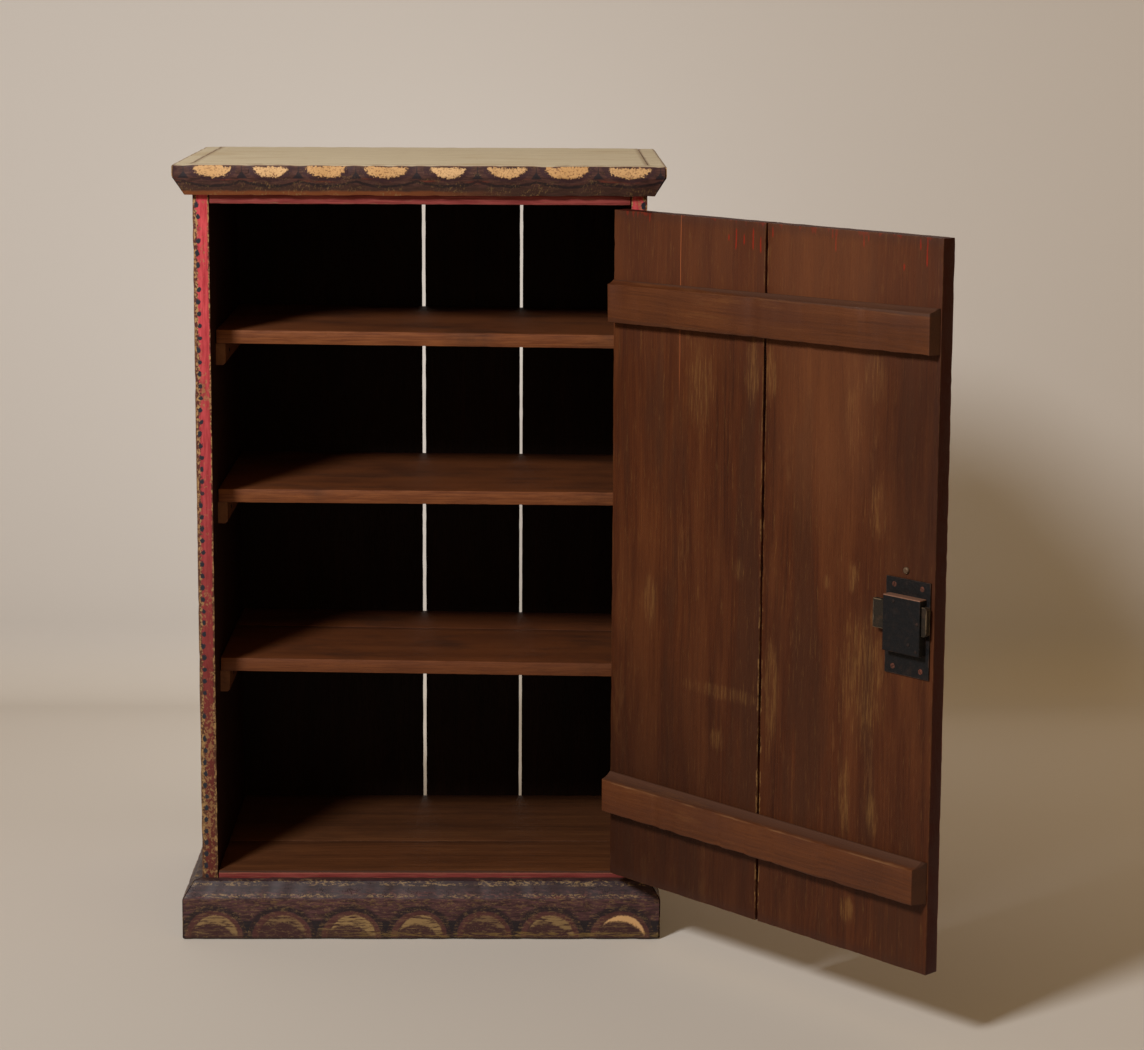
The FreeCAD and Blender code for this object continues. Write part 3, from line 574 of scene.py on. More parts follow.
@recipe("colour height")
def cornice_lunettes(place, count, down):
    """Cream lunettes hung from the top edge, spade marks between them, a dipping dark line."""
    u, own = cell(count, CORNICE_PITCH)
    ragged = mottle(place, (0.32, 0.32, 0.32), 4, 0.7) - 0.5
    slow = mottle(place, (0.045, 0.045, 0.06), 3) - 0.5
    brushy = mottle(place, (0.07, 0.07, 0.45), 4, 0.65)
    ground = blend(brushy.rise(0.3, 0.72), (58, 37, 34), (93, 62, 56))
    red = mottle(place, (0.016, 0.016, 0.22), 3, 0.6, (5, 1, 8)).rise(0.52, 0.64)
    ground = blend(red * down.rise(25, 19) * down.rise(15, 18) * 0.6, ground, (128, 54, 34))
    foot = (down + slow * 6.0).rise(31.5, 35.0) * count.rise(5.4, 3.0)
    ground = blend(down.rise(22.0, 30.0) * 0.55, ground, (62, 42, 32))
    ground = blend(foot * 0.8, ground, (138, 76, 38))

    wide = 25.0 + (own - 0.5) * 5.0
    rho = ((u / wide) ** 2.0 + (((down - 1.0) / 15.4) ** 2.0)) ** 0.5 + ragged * 0.75 + slow * 0.35
    line = rho.rise(1.34, 1.22) * rho.rise(0.94, 1.06)
    lune = rho.rise(1.0, 0.95) * (down + ragged * 11.0 + slow * 9.0 + (own - 0.5) * 2.0).rise(1.8, 2.8)
    cream = blend(own + slow * 0.8, (222, 182, 132), (204, 158, 104))
    specks = mottle(place, (0.40, 0.40, 0.5), 3, 0.72, (2, 2, 2)).rise(0.53, 0.61)
    cream = blend(specks * (0.5 + down * 0.03), cream, (120, 78, 56))

    rim = CORNICE_PITCH / 2
    from_rim = rim - u.size()
    spade = (from_rim / (down - 8.0).at_least(0.6) * 1.15 + ragged * 1.2).rise(1.0, 0.8)
    spade = spade * down.rise(17.4, 16.2)
    swag = 26.6 - (from_rim / rim - 1.0).size() ** 2.0 * 6.4
    swag = (down - swag + slow * 5.0).size() + ragged * 4.4
    swag = swag.rise(2.4, 1.0)
    colour = blend(line * 0.75, ground, (58, 36, 42))
    colour = blend(swag * 0.8, colour, (32, 26, 30))
    colour = blend(spade * 0.85, colour, (30, 29, 36))
    colour = blend(lune, colour, cream)
    drips = mottle(place, (0.42, 0.42, 0.09), 3, 0.7, (9, 4, 4)).rise(0.54, 0.62)
    drips = drips * mottle(place, (0.03, 0.03, 0.03), 2, 0.5, (4, 4, 4)).rise(0.42, 0.58)
    ochre = paint_flecks(place, 0.01)
    low = down.rise(18.0, 24.0)
    colour = blend((ochre * 0.55 + drips * low * 0.6).at_most(0.8) * (1.0 - lune * 0.8), colour,
                   (142, 112, 72))
    height = lune * 0.5 - ochre * 0.5 + brushy * 0.3
    return colour, height


@recipe("colour height")
def plinth_arches(place, count, up):
    """Arches rising from the floor edge with cream crescents, under a grey-purple bevel."""
    u, own = cell(count, PLINTH_PITCH)
    ragged = mottle(place, (0.28, 0.28, 0.28), 4, 0.7) - 0.5
    slow = mottle(place, (0.04, 0.04, 0.05), 3) - 0.5
    brushy = mottle(place, (0.05, 0.05, 0.40), 4, 0.65)
    ground = blend(brushy.rise(0.32, 0.7), (46, 28, 31), (88, 57, 58))
    rise = (up - 3.0).at_least(0.0)
    rho = ((u * u * 0.92 + rise * rise) ** 0.5) + ragged * 3.0 + slow * 3.0
    inside = rho.rise(30.0, 28.0)
    red_band = rho.rise(27.0, 29.0) * rho.rise(36.0, 34.0)
    dark_band = rho.rise(34.5, 36.5) * rho.rise(45.0, 40.0)
    fresh = count.rise(5.45, 5.6)
    over, under = u - 2.0, u + 4.0
    crescent = ((over * over + (up - 4.0) * (up - 4.0)) ** 0.5 + ragged * 4.5).rise(29.4, 27.2)
    lower = ((under * under + (up + 14.0) * (up + 14.0)) ** 0.5 + ragged * 7.0
             + (own * 6.0).at_most(6.0 - fresh * 6.0)).rise(37.0, 40.4)
    crescent = crescent * lower * up.rise(2.0, 10.0)
    colour = blend(inside * 0.8, ground, (60, 36, 36))
    colour = blend(red_band * 0.5, colour, (84, 48, 42))
    colour = blend(dark_band * 0.8, colour, (30, 23, 28))
    cream = blend(fresh, (158, 130, 86), (206, 164, 114))
    whole = (brushy.rise(0.38, 0.52) * (0.35 + own * 0.5)).at_least(fresh * 0.97)
    colour = blend(crescent * whole, colour, cream)
    rim = PLINTH_PITCH / 2 - u.size()
    wedge = (rim / 6.0 + (24.0 - up) / 18.0 + ragged * 0.7).rise(1.0, 0.8)
    wedge = wedge * up.rise(8.0, 10.0) * up.rise(27.0, 24.0)
    scrub = mottle(place, (0.02, 0.02, 0.55), 4, 0.7, (1, 6, 3))
    scrub = (scrub + (own - 0.5) * 0.08).rise(0.58, 0.68) * up.rise(34.0, 26.0)
    ochre = paint_flecks(place, 0.0)
    dry = mottle(place, (0.12, 0.12, 0.34), 5, 0.75, (2, 9, 6)).rise(0.53, 0.61)
    rubbed = (scrub * 0.5 + ochre * 0.55 + dry * 0.34).at_most(0.75) * (1.0 - crescent * fresh)
    colour = blend(rubbed, colour, (136, 110, 72))
    colour = blend(wedge * 0.9, colour, (30, 26, 31))
    strip = (up - 6.5 + slow * 6.0).size().rise(4.0, 2.0) * count.rise(1.2, 2.6)
    strip = strip * mottle(place, (0.06, 0.06, 0.5), 4, 0.7, (3, 1, 1)).rise(0.46, 0.56)
    colour = blend(strip * 0.6, colour, (126, 102, 54))
    top_scrawl = mottle(place, (0.10, 0.10, 0.35), 4, 0.7, (8, 8, 1)).rise(0.54, 0.62)
    colour = blend(top_scrawl * up.rise(38.0, 46.0) * 0.5, colour, (108, 82, 50))

    bevel = (up + ragged * 0.8).rise(54.0, 55.2)
    grey = blend(brushy.rise(0.3, 0.75), (42, 29, 32), (63, 45, 48))
    grey = blend(mottle(place, (0.012, 0.012, 0.12), 3, 0.6, (4, 4, 9)).rise(0.55, 0.68)
                 * up.rise(66.0, 56.0) * 0.7, grey, (92, 42, 38))
    rows = ((up - 71.5 + slow * 5.0).size().rise(3.6, 1.8)
            + (up - 57.6 + slow * 4.0).size().rise(2.8, 1.2))
    crumbs = mottle(place, (0.17, 0.17, 0.5), 4, 0.75, (6, 2, 5)).rise(0.50, 0.57)
    crumbs = crumbs * mottle(place, (0.02, 0.02, 0.1), 2, 0.5, (1, 2, 7)).rise(0.36, 0.52)
    haze = mottle(place, (0.14, 0.14, 0.40), 4, 0.7, (2, 8, 2)).rise(0.50, 0.62)
    grey = blend(haze * up.rise(68.0, 58.0) * 0.4, grey, (124, 80, 72))
    grey = blend(rows * crumbs * 0.85, grey, (140, 114, 78))
    grey = blend(up.rise(74.4, 75.6) * 0.7, grey, (60, 38, 30))
    colour = blend(bevel, colour, grey)
    colour = blend(up.rise(5.0, 1.5) * 0.7, colour, (42, 28, 22))
    return colour, crescent * 0.4 + brushy * 0.3 - ochre * 0.5


@recipe("colour height")
def dotted_red_edge(place, out, up):
    """Red front edge with blue-black dots and worn ochre margins. Out runs from the inner edge."""
    ragged = mottle(place, (0.30, 0.30, 0.22), 4, 0.7) - 0.5
    slow = mottle(place, (0.03, 0.03, 0.012), 3) - 0.5
    brushy = mottle(place, (0.30, 0.30, 0.03), 4, 0.65)
    red = blend(brushy.rise(0.3, 0.7), (170, 46, 56), (212, 80, 86))
    red = blend((slow * 1.4 + 0.3).rise(0.4, 0.75) * 0.6, red, (112, 50, 38))
    pitch = 15.3
    row, own = cell((up + ragged * 4.0) / pitch, pitch)
    dot = (((out - 14.4 - (own - 0.5) * 2.8) / 2.7) ** 2.0 + (row / (2.7 + own * 1.4)) ** 2.0) ** 0.5
    dot = (dot + ragged * 1.9).rise(1.15, 0.80) * own.rise(0.04, 0.12)
    low = up.rise(560.0, 200.0)
    red = blend(up.rise(940.0, 140.0) * 0.96, red, (82, 36, 28))
    outer = (out + ragged * 11.0 + slow * 7.0).rise(14.8, 16.4)
    inner = (out - ragged * 4.4 - slow * 3.6 - low * 1.6).rise(3.0, 1.2)
    margin = mottle(place, (0.22, 0.22, 0.16), 4, 0.75, (3, 3, 3))
    worn = blend(margin.rise(0.46, 0.58), (66, 35, 27), (176, 142, 92))
    worn = blend(up.rise(900.0, 0.0) * 0.5, worn, (86, 58, 38))
    scuff = (margin + slow * 0.6 + low * 0.10).rise(0.60, 0.68)
    colour = blend((outer + inner).at_most(1.0) * 0.92, red, worn)
    colour = blend(scuff * 0.5, colour, (160, 126, 80))
    colour = blend(dot, colour, (34, 36, 46))
    return colour, brushy * 0.4 - scuff * 0.4 + dot * 0.3


@recipe("colour height")
def old_red_paint(place, seed):
    """The outer faces: thin red-brown paint brushed along the boards, worn to the wood."""
    shift = place_of(seed * 17.0, seed * 29.0, seed * 3.0)
    brushy = mottle(place, (0.20, 0.20, 0.008), 5, 0.62, shift)
    cloud = mottle(place, (0.010, 0.010, 0.006), 4, 0.6, shift)
    colour = blend(brushy.rise(0.3, 0.7), (84, 36, 28), (118, 54, 42))
    colour = blend(cloud.rise(0.45, 0.68) * 0.55, colour, (62, 34, 28))
    bare = rubbed_streaks(place, along=26.0, across=5.0, amount=-0.015, seed=seed)
    colour = blend(bare * 0.55, colour, (132, 92, 58))
    fleck = paint_flecks(place, -0.05)
    colour = blend(fleck * 0.5, colour, (44, 28, 26))
    return colour, brushy * 0.4 - bare * 0.5 - fleck * 0.3


@recipe("colour roughness height")
def wrought_iron(place, dark, rust, bare, wear):
    """Wrought iron: dark skin, rust in blooms, bare metal where wear says."""
    bloom = mottle(place, (0.10, 0.10, 0.10), 4, 0.65)
    grit = mottle(place, (0.9, 0.9, 0.9), 3, 0.6, (4, 4, 4))
    dents = mottle(place, (0.20, 0.20, 0.20), 3, 0.5, (9, 1, 5))
    colour = blend((bloom + grit * 0.3).rise(0.62, 0.84), dark, rust)
    colour = blend(wear, colour, bare)
    return colour, 0.58 - wear * 0.16 + grit * 0.12, dents * 1.4 + grit * 0.2


# ---- materials ----
def cleared(owner):
    """The empty node tree of a new material or of the world."""
    owner.use_nodes = True
    owner.node_tree.nodes.clear()
    return owner.node_tree


def material(name, make, door=False, depth=0.4, metallic=0.0, specular=0.25):
    """One finish. make(place) returns its colour, its height and its roughness."""
    finish = bpy.data.materials.new(name)
    tree = cleared(finish)
    out = tree.nodes.new("ShaderNodeOutputMaterial")
    surface = tree.nodes.new("ShaderNodeBsdfPrincipled")
    tree.links.new(surface.outputs[0], out.inputs["Surface"])
    where = tree.nodes.new("ShaderNodeTexCoord")
    to_mm = tree.nodes.new("ShaderNodeMapping")
    to_mm.inputs["Scale"].default_value = (MM, MM, MM)
    if door:                       # the door's own directions: X along its width, from the pin
        turn_back = Matrix.Rotation(-OPEN_ANGLE, 3, "Z")
        to_mm.inputs["Rotation"].default_value = (0, 0, -OPEN_ANGLE)
        to_mm.inputs["Location"].default_value = turn_back @ (-PIN * MM)
    tree.links.new(where.outputs["Object"], to_mm.inputs["Vector"])
    colour, height, roughness = make(Wire(tree, to_mm.outputs[0]))
    bump = tree.nodes.new("ShaderNodeBump")
    bump.inputs["Distance"].default_value = depth / MM
    join(tree, bump.inputs["Height"], height)
    for label, value in (("Base Color", colour), ("Normal", Wire(tree, bump.outputs[0])),
                         ("Roughness", roughness), ("Metallic", metallic),
                         ("Specular IOR Level", specular)):
        join(tree, surface.inputs[label], value)
    return finish


def along_x(place):
    """Turns a place so that grain runs along X."""
    x, y, z = sides_of(place)
    return place_of(z, y, x)


def along_y(place):
    """Turns a place so that grain runs along Y."""
    x, y, z = sides_of(place)
    return place_of(x, z, y)


def middle_and_half(low, high):
    """A box's middle and half sides in millimetres, as worn_edges takes them."""
    low, high = low * MM, high * MM
    return tuple((low + high) / 2), tuple((high - low) / 2)


def plain_wood(name, seed, dark, mid, light, turn, stock=None, edge=None):
    """Wood with its grain turned along a side, and pale edges where its stock is given."""
    def make(place):
        colour, height, cloud = aged_wood(turn(place), seed, dark, mid, light)
        if stock:
            worn = worn_edges(place, *middle_and_half(*stock), 1.2, seed)
            colour = blend(worn * 0.6, colour, edge)
        return colour, height, 0.50 + cloud * 0.16 - height * 0.06
    return material(name, make)


# =====================================================================================
# The carcass
# =====================================================================================
SIDE_THICKNESS = (SIDE_HIGH.x - SIDE_LOW.x) * MM
# the pocket in the left side that the lock's bolt is thrown into
MORTISE = ((-0.27325, 0.0225, 0.4898), (-0.2635, 0.0335, 0.5280))


def side_finish(name, hand):
    """A side board: near black inside, partly dark wood and partly painted shade, old red outside, the
    dotted red edge in front.
    """
    def make(place):
        x, y, z = sides_of(place)
        out = x * hand - (HALF_WIDTH * MM - SIDE_THICKNESS)     # 0 at the inner face
        # the inner face's near-black wood is partly painted shade inside the cupboard
        wood, grain, cloud = aged_wood(place, 4.0 + hand, (26, 10, 6), (44, 18, 11), (62, 30, 19))
        outer, outer_height = old_red_paint(place, 2.0 + hand)
        edge, edge_height = dotted_red_edge(place, out, z)
        ragged = mottle(place, (0.2, 0.2, 0.12), 3, 0.6) - 0.5
        outside = (out + ragged * 1.2).rise(19.6, 20.6)
        front = (y + ragged * 1.6).rise(2.6, 1.2)
        colour = blend(front, blend(outside, wood, outer), edge)
        height = blend(front, blend(outside, grain, outer_height), edge_height)
        arris = ((out - SIDE_THICKNESS).size() + y.size() + ragged * 3.0).rise(2.6, 1.4)
        colour = blend(arris * 0.6, colour, (92, 60, 40))
        return colour, height, 0.50 + cloud * 0.12 + front * 0.05
    return material(name, make, depth=0.35)


for hand, name in ((-1, "left"), (1, "right")):
    side = board("side_board_" + name, *box_of("side_" + name), pitch=0.004, arris=0.0008,
                 chips=0.0007)
    if name == "left":
        hollow_out(side, *MORTISE)
        smooth(side)
    dress(side, "carcass", "case_paint", side_finish("side_%s_paint" % name, hand), "side_" + name)


def top_finish(place):
    colour, height = khaki_top_paint(place)
    x, y, z = sides_of(place)
    ragged = mottle(place, (0.05, 0.12, 0.1), 4, 0.7) - 0.5
    joint = (HALF_WIDTH * MM - x.size()).at_most(y.at_least(0.0) + 1.5) + ragged * 16.0
    colour = blend(joint.rise(7.0, 0.5) * 0.55, colour, (128, 94, 62))
    wood = aged_wood(along_x(place), 9.0, (40, 20, 12), (66, 36, 22), (92, 56, 34))[0]
    colour = blend(z.rise(998.0, 996.0), colour, wood)
    return colour, height, 0.58 + height * 0.08


dress(board("top_plank", TOP_LOW, TOP_HIGH, pitch=0.006, arris=0.0004, rub=0.0001, chips=0.0003),
      "carcass", "top_paint", material("top_board_paint", top_finish, depth=0.30), "top_board")


def red_edged(name, low, high, seed, dull, bare_lip):
    """A board between the sides whose front edge is painted red, with bare wood showing along
    the top of it if bare_lip is more than 0."""
    def make(place):
        _, y, z = sides_of(place)
        wood, grain, cloud = aged_wood(along_x(place), seed, (54, 29, 14), (92, 53, 28),
                                       (124, 80, 46))
        ragged = mottle(place, (0.10, 0.2, 0.3), 4, 0.7) - 0.5
        brushy = mottle(place, (0.02, 0.3, 0.4), 4, 0.65, (2, 2, 7))
        red = blend(brushy.rise(0.3, 0.7), (112, 39, 38), (150, 69, 64))
        red = blend(brushy.rise(0.2, 0.5) * dull, red, (78, 34, 30))
        from_top = high.z * MM - z
        # the red is darker along the band's top and bottom edges
        dirt = (from_top.at_most(z - low.z * MM) + ragged * 2.8).rise(1.8, 0.4)
        red = blend(dirt * 0.7, red, (96, 48, 38))
        chip = mottle(place, (0.03, 0.2, 0.5), 3, 0.7, (6, 6, 6)).rise(0.60, 0.68)
        red = blend(chip * 0.6, red, (132, 96, 70))
        if bare_lip:
            # a pale line just under the bare lip: partly worn paint, partly painted highlight
            chalk = (from_top - bare_lip - 0.5).size().rise(0.9, 0.2)
            red = blend(chalk * 0.45, red, (168, 108, 88))
            lip = (from_top + ragged * 1.2).rise(bare_lip + 0.5, bare_lip - 0.3)
            red = blend(lip, red, (66, 38, 26))
        painted = (y - low.y * MM + ragged * 1.4).rise(1.8, 0.8)
        return blend(painted, wood, red), blend(painted, grain, brushy * 0.4), 0.5 + cloud * 0.14
    return material(name, make, depth=0.3)


for node, seed, slot, dull, bare_lip in (("subtop", 3.0, "subtop_wood", 0.0, 0.0),
                                         ("floor_board_front", 6.0, "floor_wood", 0.30, 2.8)):
    low, high = box_of(node)
    dress(board(node + "_plank", low, high, cross_pitch=0.02), "carcass", slot,
          red_edged(node + "_finish", low, high, seed, dull, bare_lip), node)

rear = box_of("floor_board_rear")
dress(board("floor_board_rear_plank", *rear, pitch=0.008, cross_pitch=0.02), "carcass", "floor_wood",
      plain_wood("floor_rear_wood", 7.5, (50, 27, 13), (86, 50, 27), (114, 74, 42), along_x, rear,
                 (110, 74, 48)), "floor_board_rear")


# ---- shelves: each falls a little to the right, as its cleats were nailed ----
SHELF_THICKNESS = 0.018


def shelf_finish(seed, light, front):
    """Warm wood with a paler front edge; light says how much of both a shelf shows, and makes the
    upper shelves paler as painted light.
    """
    def make(place):
        y = sides_of(place)[1]
        colour, height, cloud = aged_wood(along_x(place), seed, (56, 28, 12), (88, 46, 21),
                                          (114, 66, 34))
        # pale patches and a pale front edge as much as light says: partly wear, partly painted light
        colour = blend(cloud.rise(0.75, 0.35) * (light * 0.7), colour, (108, 60, 30))
        ends = blend(mottle(place, (0.02, 0.4, 0.4), 4).rise(0.3, 0.7), (100, 52, 24),
                     (128, 74, 38))
        ragged = mottle(place, (0.08, 0.2, 0.2), 4, 0.7) - 0.5
        at_front = (y - front + ragged * 0.9).rise(1.3, 0.5)
        colour = blend(at_front * light, colour, ends)
        grime = mottle(place, (0.008, 0.015, 0.01), 4, 0.6, (seed, 1, 1)).rise(0.5, 0.72)
        colour = blend(grime * 0.5, colour, (46, 30, 22))
        return colour, height, 0.52 + cloud * 0.16
    return make


# light is painted light: the upper shelves, which the lamp reaches most, get the palest wood
for node, seed, light in (("shelf_upper", 11.0, 1.0), ("shelf_middle", 12.0, 0.85),
                          ("shelf_lower_front", 13.0, 0.4), ("shelf_lower_rear", 14.0, 0.4)):
    low, high = box_of(node)
    width = high.x - low.x
    shelf = board(node + "_plank", (-width / 2, low.y, -SHELF_THICKNESS), (width / 2, high.y, 0),
                  pitch=0.006, cross_pitch=0.02, chips=0.0003)
    points = [v.co for v in NODES[node].data.vertices]
    left_top = max(p.z for p in points if p.x < low.x + 0.001)
    right_top = max(p.z for p in points if p.x > high.x - 0.001)
    shelf.rotation_euler = (0, -math.atan2(right_top - left_top, width), 0)
    settle(shelf)
    move(shelf, ((low.x + high.x) / 2, 0, (left_top + right_top) / 2))
    dress(shelf, "carcass", "shelf_wood",
          material(node + "_wood", shelf_finish(seed, light, low.y * MM), depth=0.3), node)

# ---- cleats ----
# The cleats' wood is painted far paler than the shelves' wood: painted light on cleats that sit in the
# cupboard's shade.
cleat_wood = plain_wood("cleat_wood", 21.0, (80, 47, 27), (118, 73, 44), (150, 102, 66), along_y)
for level in ("upper", "middle", "lower"):
    for hand in ("left", "right"):
        node = "cleat_%s_%s" % (level, hand)
        dress(forged_copy(node, node + "_bar", 0.0006), "carcass", "cleat_wood", cleat_wood, node)


# ---- back boards ----
def back_finish(seed, outer):
    """Aged wood painted near black inside the cupboard, partly its own dark colour and partly painted
    shade of the cupboard's depth; dry bare wood outside it.
    """
    def make(place):
        y = sides_of(place)[1]
        # the inner faces' near-black wood is partly painted shade
        colour, height, cloud = aged_wood(place, seed, (16, 6, 3), (28, 12, 6), (42, 20, 11))
        rub = rubbed_streaks(place, along=28.0, across=4.5, amount=-0.03, seed=seed)
        colour = blend(rub * 0.5, colour, (42, 24, 14))
        bare = aged_wood(place, seed, (44, 29, 20), (74, 52, 36), (102, 78, 56))[0]
        colour = blend((y - outer).rise(-2.0, -1.0), colour, bare)
        return colour, height, 0.52 + cloud * 0.16
    return make


for seed, hand in enumerate(("left", "middle", "right"), 31):
    node = "back_board_" + hand
    low, high = box_of(node)
    dress(board(node + "_plank", low, high, pitch=0.006, cross_pitch=0.02, arris=0.0003,
                shrink=0.00002, rub=0.0001, planing=0.00005), "carcass", "back_wood",
          material(node + "_wood", back_finish(float(seed), high.y * MM), specular=0.12), node)


# ---- mouldings ----
MITRE_GAP = 0.00035 * math.sqrt(2)         # what a mitre leaves open, along the carcass
ROUND_OVER = 0.0025
# what is planed off each moulding: pairs of (outward, up) points, in metres, from its inner foot
CORNICE_FACES = [((0.009, 0), (0.023, 0.024))]
PLINTH_FACES = [((0.024, 0.054), (0.0105, 0.0745)), ((0.0105, 0.0745), (0, 0.076))]
# the row painted on each: its centres along the front, its pitch, and how far before a side's
# front edge it starts, in millimetres
MOULDINGS = {"cornice": (CORNICE_FACES, (LUNETTES, CORNICE_PITCH, 28.0)),
             "plinth": (PLINTH_FACES, (ARCHES, PLINTH_PITCH, 36.0))}


def moulding_bar(kind, name, hand, faces):
    """One mitred length, planed from squared stock. hand is 0 for the front, -1 or 1 for a side."""
    low, high = box_of(kind + "_front")
    base, top, reach = low.z, high.z, -low.y
    name = "%s_bar_%s" % (kind, name)
    if hand == 0:
        out, run = Vector((0, -1, 0)), Vector((1, 0, 0))
        piece = block(name, (-HALF_WIDTH - reach, -reach, base), (HALF_WIDTH + reach, 0, top))
        foot = Vector((0, 0, base))
        for side in (-1, 1):
            saw(piece, (side * (HALF_WIDTH - MITRE_GAP), 0, base), (side, 1, 0))
    else:
        out, run = Vector((hand, 0, 0)), Vector((0, 1, 0))
        ends = sorted((hand * HALF_WIDTH, hand * (HALF_WIDTH + reach)))
        piece = block(name, (ends[0], -reach, base), (ends[1], BACK_FACE, top))
        foot = Vector((hand * HALF_WIDTH, 0, base))
        saw(piece, (hand * (HALF_WIDTH + MITRE_GAP), 0, base), (-hand, -1, 0))
    for (u0, z0), (u1, z1) in faces:
        line = out * (u1 - u0) + Vector((0, 0, z1 - z0))
        normal = run.cross(line).normalized()
        if normal.dot(out) < 0 or (abs(normal.dot(out)) < 0.3 and normal.z < 0):
            normal = -normal
        saw(piece, foot + out * u0 + Vector((0, 0, z0)), normal)
    face = foot.dot(out) + reach - 0.0002

    def outer_run(a, b):
        step = b - a
        return (abs(step.dot(run)) > 0.9 * step.length and a.dot(out) > face
                and b.dot(out) > face)

    def outer_corner(a, b):
        step = b - a
        if hand and max(a.y, b.y) > 0:
            return False
        return abs(step.z) > 0.4 * step.length and a.dot(out) > foot.dot(out) + 0.008

    ease(piece, ROUND_OVER, 4, outer_run)
    ease(piece, ROUND_OVER * 0.7, 3, outer_corner)
    divide(piece, 1 if hand else 0, 0.0045)
    press_in(piece, HAND_PLANING, 0.0004)
    mark(piece, lambda p: True)
    wear_arrises(piece, 0.0003, 0.0011, 32)
    return piece


def facing_up(place):
    """How far a surface faces up, from its own shape."""
    where = place.tree.nodes.new("ShaderNodeTexCoord")
    return sides_of(Wire(place.tree, where.outputs["Normal"]))[2]


def painted_moulding(name, hand, crown, centres, pitch, side_start):
    """The finish of one moulding: where it lies is counted along its own run."""
    def make(place):
        x, y, z = sides_of(place)
        count = (y + side_start) / pitch if hand else counted(x, centres, pitch)
        laid = place_of(y if hand else x, y + x * 0.37, z)
        if not crown:
            return *plinth_arches(laid, count, z), 0.5
        colour, height = cornice_lunettes(laid, count, HEIGHT * MM - z)
        khaki, brush = khaki_top_paint(place)
        ragged = mottle(place, (0.12, 0.12, 0.12), 4, 0.7) - 0.5
        top = (facing_up(place) + ragged * 0.25).rise(0.72, 0.86)
        out = x * hand - HALF_WIDTH * MM if hand else -y
        line = (out + ragged * 5.0).rise(18.0, 21.0).at_least((out - ragged * 7.0).rise(3.4, 1.0))
        khaki = blend(line * 0.65, khaki, (118, 78, 54))
        return blend(top, colour, khaki), blend(top, height, brush), 0.52 + top * 0.06
    return material(name, make, depth=0.45)


for hand, name in ((0, "front"), (-1, "left"), (1, "right")):
    for kind, (faces, row) in MOULDINGS.items():
        dress(moulding_bar(kind, name, hand, faces), "carcass", kind + "_paint",
              painted_moulding("%s_%s_paint" % (kind, name), hand, kind == "cornice", *row),
              "%s_%s" % (kind, name))


# =====================================================================================
# The door. Its finishes count X from the hinge pin, so that -X runs across the door.
# =====================================================================================
PLANK_JOINT = 256.0                        # millimetres from the pin
CRACK_AT = 115.6
# rubbed ovals: middle across and up, spread across and up, in millimetres, then strength
RUBBED_SPOTS = ((151, 739, 20, 50, 0.7), (237, 772, 11, 38, 0.8), (219, 522, 8, 14, 0.6),
                (69, 461, 11, 31, 0.8), (195, 365, 57, 9, 0.7), (187, 304, 11, 13, 0.8),
                (265, 769, 9, 32, 0.9), (273, 380, 11, 63, 0.8), (395, 745, 11, 57, 0.8),
                (429, 783, 15, 28, 0.8), (436, 627, 12, 34, 0.6), (400, 541, 7, 17, 1.0),
                (418, 428, 31, 73, 0.8), (393, 274, 8, 46, 1.0), (436, 263, 8, 25, 1.0),
                (401, 139, 10, 16, 0.9), (360, 530, 5, 9, 0.8))
# runs of red paint: middle across, start and end below the door's top edge, in millimetres
RED_RUNS = ((195, 18, 27), (207, 10, 37), (220, 16, 30), (235, 8, 35), (247, 18, 38), (266, 4, 18),
            (359, 0, 13), (364, 0, 28), (406, 0, 20), (413, 2, 13), (466, 33, 42), (489, 2, 17),
            (499, 0, 35))


def strongest(marks):
    """The greatest of several masks at each place."""
    total = marks[0]
    for other in marks[1:]:
        total = total.at_least(other)
    return total


@recipe("rubbed")
def rubbed_places(place):
    """Where the door's inner face is rubbed pale: a soft oval for each place."""
    x, _, z = sides_of(place)
    return strongest([(((-x - across) / (wide * 1.5)) ** 2.0
                       + ((z - up) / (tall * 1.4)) ** 2.0).rise(1.0, 0.0) * strength
                      for across, up, wide, tall, strength in RUBBED_SPOTS])


@recipe("run")
def red_paint_runs(place, down):
    """Red paint that ran over the door's top edge: thin runs, and dabs along the edge."""
    x = sides_of(place)[0]
    sway = (mottle(place, (0.03, 0.03, 0.06), 2) - 0.5) * 3.0
    thick = mottle(place, (0.2, 0.2, 0.12), 2) * 1.6
    runs = [((x + across + sway).size() - thick).rise(0.5, -0.1) * down.rise(end, end - 5.0)
            * down.rise(start - 2.0, start + 3.0) for across, start, end in RED_RUNS]
    dab = mottle(place, (0.10, 0.10, 0.02), 3, 0.65, (2, 7, 1)) - down * 0.016
    return strongest(runs + [dab.rise(0.50, 0.58) * 0.8])


